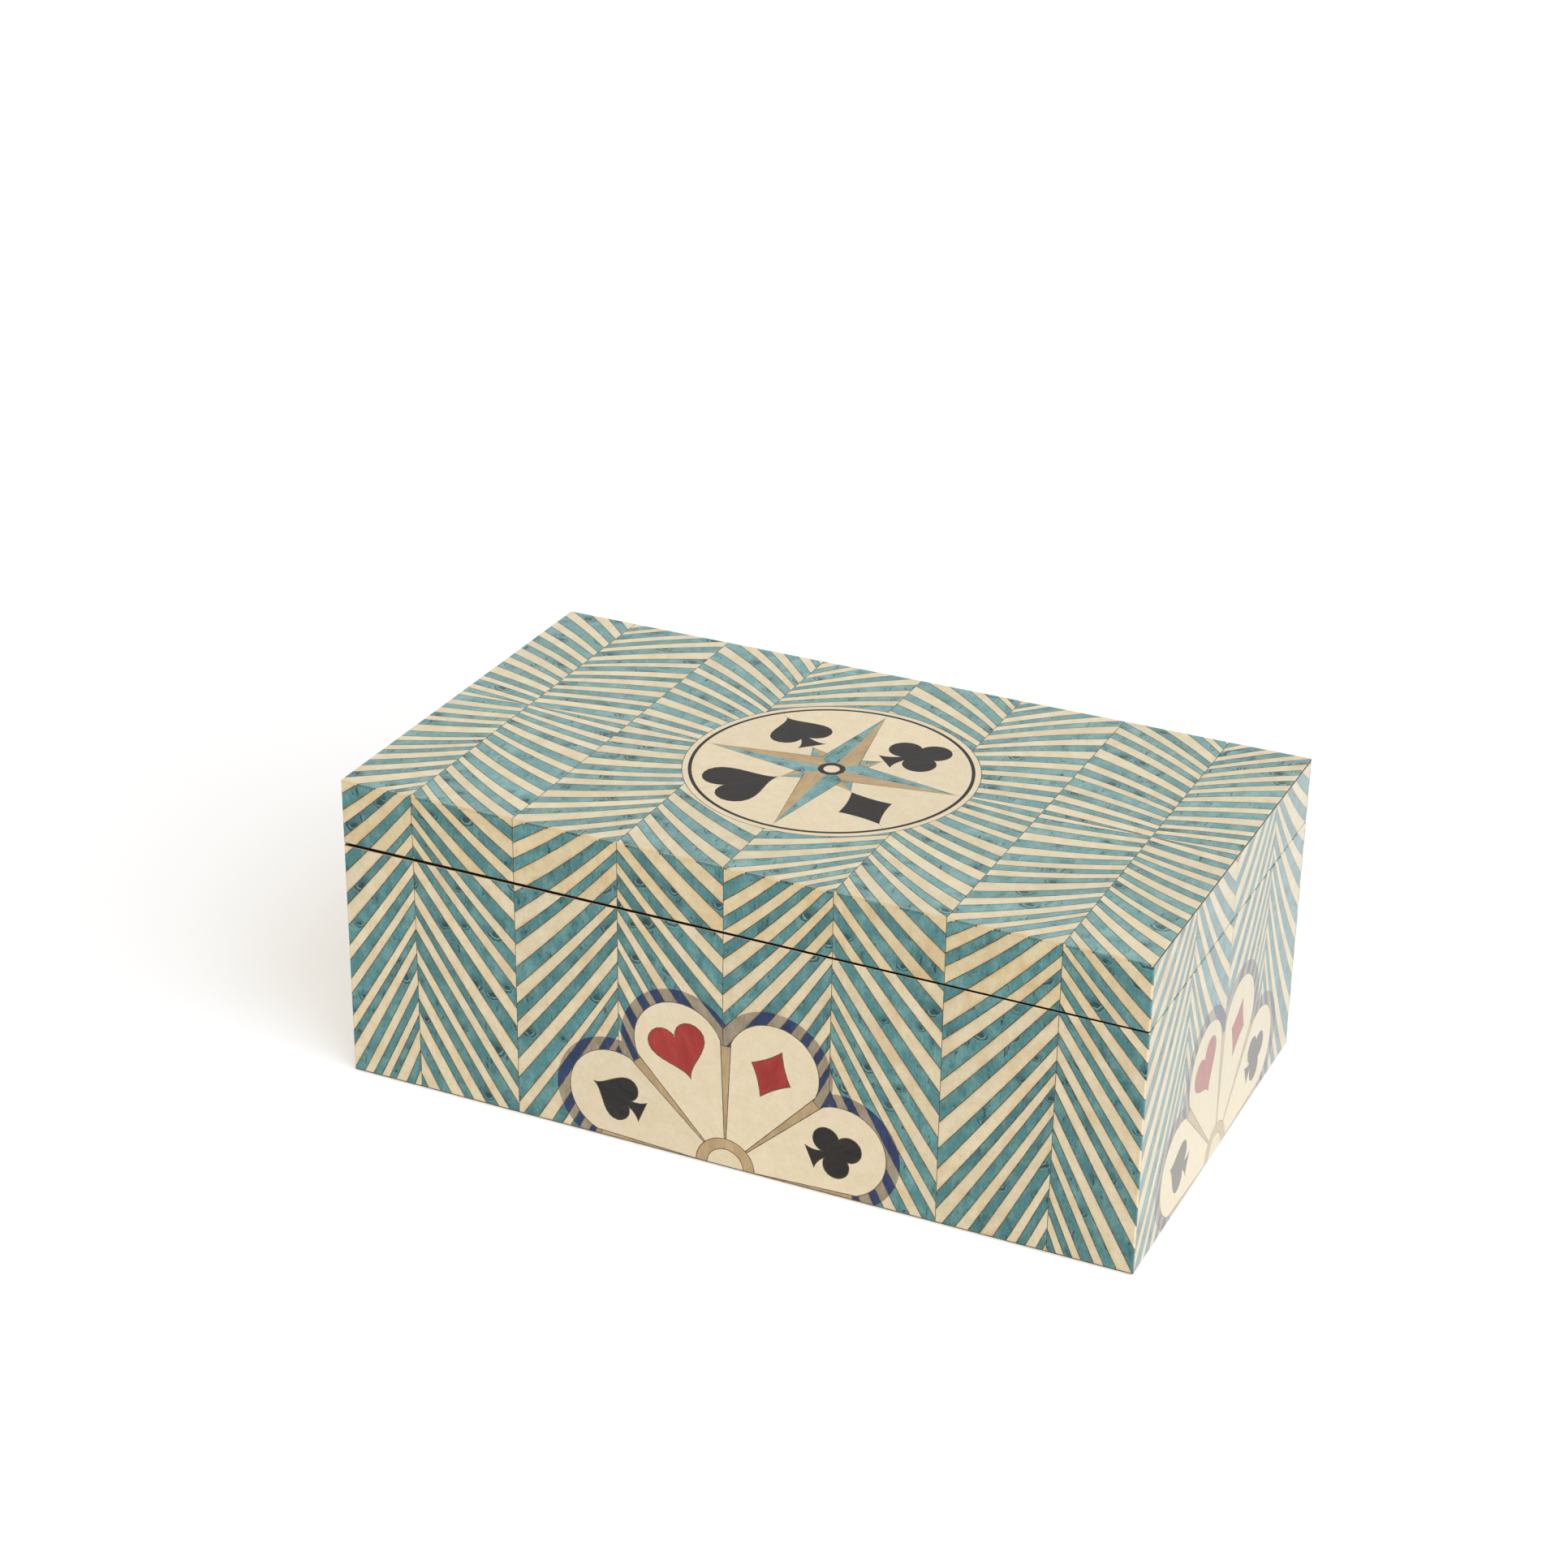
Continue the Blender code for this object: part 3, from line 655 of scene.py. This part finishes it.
def build_panel(panel, line="line"):
    """Cut a panel's pieces into its sheet and put the sheet in the scene."""
    corners, triangles = cut(panel)
    shown, looks = cover(panel, corners[triangles].mean(axis=1), line)
    shape = bmesh.new()
    grain = shape.loops.layers.float_vector.new("grain")
    across = shape.loops.layers.float.new("across")
    facing = shape.verts.layers.float_vector.new("facing")
    front = shape.faces.layers.int.new("front")
    verts, used = {}, sorted(set(looks))
    for triangle, number, wood in zip(triangles.tolist(), shown, looks):
        piece = panel.pieces[number] if number >= 0 else None
        for i in triangle:
            if i not in verts:
                place, direction = panel.place(corners[i])
                verts[i] = shape.verts.new(place)
                verts[i][facing] = direction
        face = shape.faces.new([verts[i] for i in triangle])
        face[front] = 1
        face.material_index = used.index(wood)
        for loop, i in zip(face.loops, triangle):
            loop[grain] = piece.grain(corners[i]) if piece else (*corners[i], 0.5)
            loop[across] = piece.across(corners[i]) if piece else 0.0
    close_sheet(shape, panel, front, len(used))
    sheet = add_mesh(panel.node.replace("veneer", "marquetry"), shape)
    for wood in used:
        sheet.data.materials.append(veneer(wood, panel.finish))
    sheet.data.materials.append(veneer("edge", "raw"))
    set_normals(sheet.data)
    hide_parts(panel.node)
    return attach(sheet, body_of(panel.node))


class Fan:
    """One band of strips. They fan out from a level line, and are narrow at the band's apex side."""

    def __init__(self, apex, valley, low, high, first, narrow_share, curves):
        self.apex, self.valley, self.low, self.high = apex, valley, low, high
        self.first, self.curves = first, curves
        self.wide, self.narrow = [0.0], [0.0]
        reach = (half_depth + box_height) / narrow_share + 2 * strip_width
        while self.wide[-1] < reach:
            width = strip_width + strip_growth * self.wide[-1]
            width *= cream_share if (len(self.wide) - 1 + first) % 2 else 2 - cream_share
            wide = width * (1 + dice.uniform(-uneven_share, uneven_share))
            narrow = narrow_share * (width + wide) / 2
            narrow *= 1 + dice.uniform(-uneven_share, uneven_share)
            self.narrow.append(self.narrow[-1] + (narrow if len(self.wide) > 1 else 0.0))
            self.wide.append(self.wide[-1] + wide)

    def level(self, index, x):
        """Return how far an edge of a strip is from the level line, and its slope."""
        span = self.valley - self.apex
        share = (x - self.apex) / span
        wide, narrow = self.wide[index], self.narrow[index]
        rise = wide - narrow
        near, far = self.curves
        bow = near + (far - near) * min(wide / curve_fade, 1)
        distance = narrow + rise * (share + bow * share * (1 - share))
        return distance, rise * (1 + bow * (1 - 2 * share)) / span

    def strip(self, index, line):
        """Return the inner and the outer edge of a strip, less its half of the glue lines."""
        inner, outer = [], []
        start, end = self.low + band_line / 2, self.high - band_line / 2
        for i in range(strip_steps + 1):
            x = start + (end - start) * i / strip_steps
            near, near_slope = self.level(index, x)
            far, far_slope = self.level(index + 1, x)
            near += line / 2 * math.hypot(1, near_slope)
            far -= line / 2 * math.hypot(1, far_slope)
            inner.append((x, near))
            outer.append((x, max(far, near + sliver)))
        return inner, outer


def make_fans(apex, width, half, swap, narrow_share, curves):
    """Return the fans side by side over a face that reaches from -half to half."""
    fans, index = [], -1
    while apex + width * index < half:
        before, after = apex + width * index, apex + width * (index + 1)
        tip, valley = (before, after) if index % 2 == 0 else (after, before)
        fans.append(Fan(tip, valley, max(before, -half), min(after, half), (index + swap) % 2,
                        narrow_share, curves))
        index += 1
    return fans


def lay_strips(panel, fans, plan, line, woods):
    """Lay the strips of each fan that reach a panel."""
    near, far = sorted(plan[2] * (level - plan[1]) for level in panel.reach(1))
    for fan in fans:
        for index in range(len(fan.wide) - 1):
            inner, outer = fan.strip(index, line)
            if max(s for _, s in outer) >= near and min(s for _, s in inner) <= far:
                panel.pieces.append(Strip(fan, index, plan, line, woods[(index + fan.first) % 2]))


def moved(outline, size, angle, centre):
    """Return an outline scaled, turned and moved to its place."""
    turn = Matrix.Rotation(math.radians(angle), 2)
    return [tuple(turn @ Vector(point) * size + Vector(centre)) for point in outline]


def grown(outline, distance):
    """Return an outline whose sides have all moved outward."""
    if signed_area(outline) < 0:
        outline = outline[::-1]
    points = []
    for i, point in enumerate(outline):
        before = (Vector(point) - Vector(outline[i - 1])).normalized()
        after = (Vector(outline[(i + 1) % len(outline)]) - Vector(point)).normalized()
        normal = Vector((before.y + after.y, -before.x - after.x)).normalized()
        stretch = max(normal.dot(Vector((after.y, -after.x))), least_stretch)
        points.append(tuple(Vector(point) + normal * distance / stretch))
    return points


def circle(radius, centre=(0.0, 0.0), start=0, end=360, steps=48):
    """Return points round a circle, or along a part of it."""
    whole = end - start == 360
    count = steps if whole else steps + 1
    angles = [math.radians(start + (end - start) * i / steps) for i in range(count)]
    return [(centre[0] + radius * math.cos(a), centre[1] + radius * math.sin(a)) for a in angles]


def curve(start, control, end, steps=8):
    """Return points along a bow from start to end, without its last point."""
    start, control, end = Vector(start), Vector(control), Vector(end)
    points = []
    for i in range(steps):
        t = i / steps
        points.append(tuple(start * (1 - t) ** 2 + control * 2 * t * (1 - t) + end * t ** 2))
    return points


def mirrored(half):
    """Return an outline from its right half, listed from the top to the bottom."""
    return half + [(-x, y) for x, y in reversed(half) if x > 0]


def heart(steps=40, height=29, lift=2.5):
    """Return a heart one unit high, drawn by the well-known sum of waves."""
    points = []
    for i in range(steps):
        t = 2 * math.pi * i / steps
        x = 16 * math.sin(t) ** 3
        y = 13 * math.cos(t) - 5 * math.cos(2 * t) - 2 * math.cos(3 * t) - math.cos(4 * t)
        points.append((x / height, (y + lift) / height))
    return [points]


def diamond():
    """Return a diamond one unit high, with its sides drawn in a little."""
    top, side, foot = (0, 0.5), (0.38, 0), (0, -0.5)
    return [mirrored(curve(top, (0.16, 0.2), side) + curve(side, (0.16, -0.2), foot) + [foot])]


def stem():
    """Return the foot of a club or a spade."""
    foot = (0.2, -0.5)
    return mirrored(curve((0.02, 0.05), (0.04, -0.38), foot) + [foot])


def spade():
    """Return a spade one unit high, as the outlines that make it up."""
    leaf = [(x * 0.82, 0.1 - y * 0.8) for x, y in heart()[0]]
    return [leaf, stem()]


def club():
    """Return a club one unit high, as the outlines that make it up."""
    lobes = [circle(0.235, place, steps=32) for place in ((0, 0.265), (0.25, -0.08), (-0.25, -0.08))]
    return lobes + [circle(0.13, (0, 0.03), steps=16), stem()]


def inlay(panel, outlines, wood, layer, turn=0.0, line=front_line):
    """Set a piece of veneer, which several outlines may make up, in a line of glue."""
    for outline in outlines:
        panel.pieces.append(Piece(grown(outline, line), "line", layer))
    number, sample = dice.random(), Vector((dice.random(), dice.random()))
    for outline in outlines:
        piece = Piece(outline, wood, layer + 0.5, turn)
        piece.number, piece.sample = number, sample
        panel.pieces.append(piece)


def inlay_pip(panel, suit, wood, layer, centre, angle, radius, size, line=front_line):
    """Inlay a suit that stands upright on a radius of an inlay."""
    place = moved([(radius, 0)], 1, angle, centre)[0]
    shapes = [moved(part, size, angle - 90, place) for part in suit]
    inlay(panel, shapes, wood, layer, angle - 90, line)


def petal(centre, angle, half_angle, start, end):
    """Return a petal whose sides spread from the centre and whose end is round."""
    spread = math.tan(math.radians(half_angle))
    outline = [(start, -start * spread)] + circle(end * spread, (end, 0), -90, 90, 20)
    return moved(outline + [(start, start * spread)], 1, angle, centre)


def half_patera(panel, centre):
    """Inlay a half round of four petals, each with a suit, on the foot of a face."""
    suits = ((club(), "charcoal"), (diamond(), "red"), (heart(), "red"), (spade(), "charcoal"))
    pitch = 180 / len(suits)
    half_angle = pitch / 2 * petal_share
    for i, (suit, colour) in enumerate(suits):
        angle = pitch * (i + 0.5)
        outline = petal(centre, angle, half_angle, petal_start, patera_radius)
        panel.pieces.append(Piece(grown(outline, shadow_width), "shadow", 1.5))
        inlay(panel, [outline], "card", 3, angle - 90)
        inlay_pip(panel, suit, colour, 5, centre, angle, patera_pip_radius, patera_pip)
    rounds = ((patera_radius + patera_rim, "tan", 2), (hub_radius, "tan", 6),
              (hub_radius * hub_eye_share, "card", 8))
    for radius, wood, layer in rounds:
        inlay(panel, [circle(radius, centre)], wood, layer)


def compass(panel, centre):
    """Inlay a round medallion with a compass star and a suit in each quarter."""
    inlay(panel, [circle(medallion_radius, centre, steps=96)], "card", 1, 0, top_line)
    inlay(panel, [circle(stringing_radius, centre, steps=96)], "charcoal", 2, 0, stringing_line)
    inner = stringing_radius - stringing_width
    sectors = 8
    pitch = 360 / sectors
    for i in range(sectors):
        part = [tuple(centre)] + circle(inner, centre, pitch * i, pitch * (i + 1), 12)
        panel.pieces.append(Piece(grown(part, -sector_line / 2), "card", 4, pitch * (i + 0.5) - 90))
    panel.pieces.append(Piece(circle(inner, centre, steps=96), "line", 3))
    for start, tip, waist, layer in ((45, short_ray, short_waist, 6), (0, long_ray, long_waist, 8)):
        for angle in range(start, start + 360, 90):
            for side, wood in ((45, "pale_teal"), (-45, "tan")):
                ray = [(0, 0), (tip, 0), moved([(waist, 0)], 1, side, (0, 0))[0]]
                inlay(panel, [moved(ray, 1, angle, centre)], wood, layer, angle - 90, top_line)
    inlay(panel, [circle(star_boss, centre)], "charcoal", 10, 0, top_line)
    inlay(panel, [circle(star_eye, centre)], "card", 11, 0, top_line)
    for i, suit in enumerate((club(), spade(), heart(), diamond())):
        inlay_pip(panel, suit, "charcoal", 12, centre, 45 + 90 * i, medallion_pip_radius, medallion_pip,
                  medallion_pip_line)


def edge_band(panel, axis, side, widths, wood="line", layer=20, inset=0.0):
    """Lay a narrow band, with a width at each end, along or near one of a panel's edges."""
    inward = (1, -1)[side]
    level = panel.reach(axis)[side] + inward * inset
    start, end = panel.reach(1 - axis)
    margin = max(widths)
    outer = 0.0 if inset else -margin
    corners = [(start - margin, outer), (end + margin, outer),
               (end + margin, widths[1]), (start - margin, widths[0])]
    points = [(along, level + inward * depth) for along, depth in corners]
    panel.pieces.append(Piece(points if axis else [point[::-1] for point in points], wood, layer))


def hinge_notches(leaf):
    """Return the notches that the two hinges need in the back's veneer, from left to right."""
    notches = []
    for side in ("right", "left"):
        low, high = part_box(f"{side}_hinge_{leaf}")
        depth = low.z - hinge_clearance if leaf == "body_leaf" else high.z + hinge_clearance
        notches.append((-high.x - hinge_clearance, -low.x + hinge_clearance, depth))
    return notches


def make_side(side, origin, across, half, rounding, fans, way):
    """Make the body's and the lid's panel on one side. The way is that in which its fans run."""
    lid_top = box_height - veneer_thickness - contact_gap
    long_side, back = rounding > 0, side == "back"
    finish = "satin" if long_side else "polished"
    body = Panel(side + "_veneer", finish, origin, across, (0, 0, 1), (-half, foot), (half, seam_low),
                 ((rounding, rounding), (0.0, seam_round)),
                 ((), hinge_notches("body_leaf") if back else ()))
    lid = Panel("lid_" + side + "_veneer", finish, origin, across, (0, 0, 1), (-half, seam_high),
                (half, lid_top), ((rounding, rounding), (seam_round, 0.0)),
                (hinge_notches("lid_leaf") if back else (), ()))
    level_line = box_height + half_depth
    woods = ("teal", "cream", "lid_cream") if long_side else ("end_teal", "cream", "cream")
    for panel, pale in ((body, woods[1]), (lid, woods[2])):
        lay_strips(panel, fans, (way, level_line, -1), front_line, (woods[0], pale))
    if not long_side:
        edge_band(lid, 1, 1, top_edge_line, "tan")
    # Painted shade along the lid's lower edge, darkening the seam
    edge_band(lid, 1, 0, lid_seam_painted_shade if long_side else end_seam_painted_shade, "edge")
    if long_side:
        edge_band(body, 1, 0, base_line)
        edge_band(body, 1, 1, seam_edge, "tan", 19)
        # Painted shade along the body's upper edge, at the seam
        edge_band(body, 1, 1, body_seam_painted_shade, "edge")
    if not back:
        half_patera(body, (0.0, foot))
    build_panel(body)
    build_panel(lid)


def make_top(front_fans, back_fans):
    """Make the lid's top panel. Past its rounded front and back edges it shows those faces' woods."""
    top = Panel("lid_top_veneer", "rubbed", (0, 0, box_height), (1, 0, 0), (0, 1, 0),
                (-half_length, -half_depth), (half_length, half_depth),
                ((top_end_round, top_end_round), (edge_round, edge_round)))
    top.hem = {"pale_teal": "teal", "top_cream": "lid_cream", "pale_line": "line"}
    for fans, side in ((front_fans, -1), (back_fans, 1)):
        lay_strips(top, fans, (1, 0.0, side), top_line, ("pale_teal", "top_cream"))
    for end in (0, 1):
        edge_band(top, 0, end, top_rim_line)
        edge_band(top, 1, end, top_hem_line, "tan", 19, top.reach(1)[1] - top.hem_start())
    compass(top, (0.0, 0.0))
    build_panel(top, "pale_line")


def make_marquetry():
    """Make every panel of the body and the lid."""
    side_half = half_depth - veneer_thickness - contact_gap
    long_fan = (first_apex - half_length, band_width, half_length + edge_round)
    long_shape = (front_narrow_share, (lid_curve, front_curve))
    side_fan = (side_first_apex - half_depth, side_band_width, side_half)
    side_shape = (side_narrow_share, (side_curve, side_curve))
    front_fans, back_fans = (make_fans(*long_fan, swap, *long_shape) for swap in (0, 1))
    right_fans, left_fans = (make_fans(*side_fan, swap, *side_shape) for swap in (0, 1))
    for side, fans, way in (("front", front_fans, 1), ("back", back_fans, -1)):
        make_side(side, (0, -way * half_depth, 0), (way, 0, 0), half_length, edge_round, fans, way)
    for side, fans, way in (("right", right_fans, 1), ("left", left_fans, -1)):
        make_side(side, (way * half_length, 0, 0), (0, way, 0), side_half, 0.0, fans, way)
    make_top(front_fans, back_fans)


make_marquetry()

# Soft pieces
side_steps = 10
corner_steps = 6
waves_per_metre = 60
wave_rise = 0.002
pad_corner = 0.002
pad_waves = 0.00035
cloth_corner = 0.0012
pad_crown = ((0.0004, 0.0), (0.0, 0.0006), (0.0, 0.0014), (0.0003, 0.002), (0.0009, 0.0025),
             (0.0018, 0.0028), (0.0035, 0.003), (0.007, 0.0032), (0.013, 0.0034), (0.022, 0.0035))


def rounded_ring(low, high, inset, corner):
    """Return points round a rectangle with round corners, moved inward by the inset."""
    radius = max(corner - inset, corner / 5)
    left, front = low.x + inset + radius, low.y + inset + radius
    right, back = high.x - inset - radius, high.y - inset - radius
    centres = ((right, front, 270), (right, back, 0), (left, back, 90), (left, front, 180))
    arcs = [circle(radius, (x, y), start, start + 90, corner_steps) for x, y, start in centres]
    points = []
    for arc, following in zip(arcs, arcs[1:] + arcs[:1]):
        end, start = Vector(arc[-1]), Vector(following[0])
        points += arc + [tuple(end.lerp(start, i / side_steps)) for i in range(1, side_steps)]
    return points


def add_soft(node, name, profile, corner, waves, material):
    """Put a soft slab in a node's place. Its section runs up and inward from its flat side."""
    low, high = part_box(node)
    facing = -1 if node == "lid_pad" else 1
    base = low.z if facing > 0 else high.z
    shape = bmesh.new()
    rings = []
    for inset, height in profile:
        ring = []
        for x, y in rounded_ring(low, high, inset, corner):
            lift = waves * noise.noise(Vector((x, y, height)) * waves_per_metre)
            lift *= min(height / wave_rise, 1.0) * (1.0 - inset / profile[-1][0])
            ring.append(shape.verts.new((x, y, base + facing * (height + lift))))
        rings.append(ring)
    for lower, upper in zip(rings, rings[1:]):
        for i in range(len(lower)):
            j = (i + 1) % len(lower)
            shape.faces.new((lower[i], lower[j], upper[j], upper[i]))
    for ring in (rings[0], rings[-1]):
        shape.faces.new(ring)
    bmesh.ops.recalc_face_normals(shape, faces=shape.faces)
    piece = add_mesh(name, shape)
    for face in piece.data.polygons:
        face.use_smooth = len(face.vertices) == 4
    piece.data.materials.append(material)
    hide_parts(node)
    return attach(piece, body_of(node))


suede = nap("suede", (0.012, 0.04, 0.042), (0.04, 0.092, 0.094), 0.00022, 0.00008, 0.35)
felt = nap("baize", (0.01, 0.03, 0.026), (0.03, 0.066, 0.058), 0.0003, 0.00012, 0.25)


def make_soft_pieces():
    """Make the padded boards and the cloth under the box."""
    for node in ("left_floor_pad", "centre_floor_pad", "right_floor_pad", "lid_pad"):
        pad = add_soft(node, node + "_suede", pad_crown, pad_corner, pad_waves, suede)
    low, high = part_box("base_baize")
    thickness = high.z - low.z
    section = ((0.0001, 0.0), (0.0, thickness * 0.35), (0.0001, thickness * 0.85),
               (0.0003, thickness), (0.003, thickness))
    cloth = add_soft("base_baize", "base_cloth", section, cloth_corner, 0.0, felt)


make_soft_pieces()


def dress_frame():
    """Give each node that stays in view the finish of its own stuff."""
    brass = brushed_brass()
    rim = board_wood("rim_veneer", (0.01, 0.006, 0.004), (0.03, 0.018, 0.011), "X", 0.6)
    core_x, core_y = (board_wood("core_wood_" + along.lower(), (0.33, 0.215, 0.12),
                                 (0.5, 0.36, 0.215), along, 0.6) for along in "XY")
    for name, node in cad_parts.items():
        if "hinge" in name or "screw" in name:
            material = brass
        elif name.endswith("_rim"):
            material = rim
        elif name.endswith(("_liner", "_divider")):
            material = suede
        elif name.split("_")[-2] in ("left", "right"):
            material = core_y
        else:
            material = core_x
        for slot in node.material_slots:
            slot.material = material


dress_frame()

# Light, floor and camera
ambient = 0.45
sun_from = (0.7, -0.363, 0.613)
sun_strength = 0.97
sun_angle = 45
floor_size = 6.0
floor_drop = 0.0002
floor_clearance = 0.0015
floor_colour = (0.8, 0.8, 0.8)
floor_gloss_glow = (0.12, 0.12, 0.12)
floor_camera_colour = (0.357, 0.417, 0.505)
floor_camera_glow = (0.665, 0.602, 0.51)
camera_azimuth = 24.69
camera_elevation = 25.86
camera_roll = 0.81
camera_distance = 0.9107
camera_target = (-0.01413, 0.0, 0.0824)
camera_lens = 76.46


def seen_rays(graph):
    """Return the outputs for the camera's own rays, and for those in gloss and glass."""
    path = graph.add("LightPath").node.outputs
    gloss = graph.math("MAXIMUM", path["Is Glossy Ray"], path["Is Transmission Ray"])
    return path["Is Camera Ray"], gloss


def make_world():
    """Light the box evenly from all round, and show white behind it."""
    world = bpy.data.worlds.new("studio")
    bpy.context.scene.world = world
    graph = Graph(world)
    seen = graph.math("MAXIMUM", *seen_rays(graph))
    light = graph.tree.nodes["Background"]
    graph.put(light.inputs["Color"], (1.0, 1.0, 1.0, 1.0))
    strength = graph.add("MapRange", {"Value": seen, "To Min": ambient, "To Max": 1.0})
    graph.put(light.inputs["Strength"], strength)


def floor_material():
    """Return a white that takes the box's shadow, can't be seen from below and lets light in there."""
    graph = new_graph("floor")
    camera, gloss = seen_rays(graph)
    diffuse = graph.add("BsdfDiffuse", {"Color": graph.mix(camera, floor_colour, floor_camera_colour)})
    glow = graph.mix(gloss, (0.0, 0.0, 0.0), floor_gloss_glow)
    glow = graph.add("Emission", {"Color": graph.mix(camera, glow, floor_camera_glow), "Strength": 1.0})
    lit = graph.add("AddShader", {0: diffuse, 1: glow})
    below = graph.add("NewGeometry", output=6)
    near = graph.math("LESS_THAN", graph.add("LightPath", output="Ray Length"), floor_clearance)
    clear = graph.math("MAXIMUM", below, near)
    both = graph.add("MixShader", {0: clear, 1: lit, 2: graph.add("BsdfTransparent")})
    nodes = graph.tree.nodes
    nodes.remove(nodes["Principled BSDF"])
    graph.put(nodes["Material Output"].inputs["Surface"], both)
    return graph.owner


def make_floor():
    """Lay the floor."""
    shape = bmesh.new()
    bmesh.ops.create_grid(shape, x_segments=1, y_segments=1, size=floor_size)
    floor = add_mesh("floor", shape)
    floor.location.z = -floor_drop
    floor.data.materials.append(floor_material())


def make_key_light():
    """Hang one large soft light in front of the box, above and to the right."""
    lamp = bpy.data.lights.new("key", "SUN")
    lamp.energy = sun_strength * math.pi
    lamp.angle = math.radians(sun_angle)
    light = add_object("key", lamp)
    light.rotation_mode = "QUATERNION"
    light.rotation_quaternion = (-Vector(sun_from)).to_track_quat("-Z", "Y")


def make_camera():
    """Set up the camera at the photograph's viewing angle."""
    azimuth, elevation = math.radians(camera_azimuth), math.radians(camera_elevation)
    back = Vector((math.sin(azimuth) * math.cos(elevation), -math.cos(azimuth) * math.cos(elevation),
                   math.sin(elevation)))
    data = bpy.data.cameras.new("camera")
    data.lens = camera_lens
    camera = add_object("camera", data)
    aim = (-back).to_track_quat("-Z", "Y").to_matrix().to_4x4()
    place = Matrix.Translation(Vector(camera_target) + back * camera_distance)
    camera.matrix_world = place @ aim @ Matrix.Rotation(math.radians(camera_roll), 4, "Z")
    bpy.context.scene.camera = camera


make_world()
make_floor()
make_key_light()
make_camera()
bpy.context.scene.view_settings.view_transform = "Standard"

bpy.context.view_layer.update()
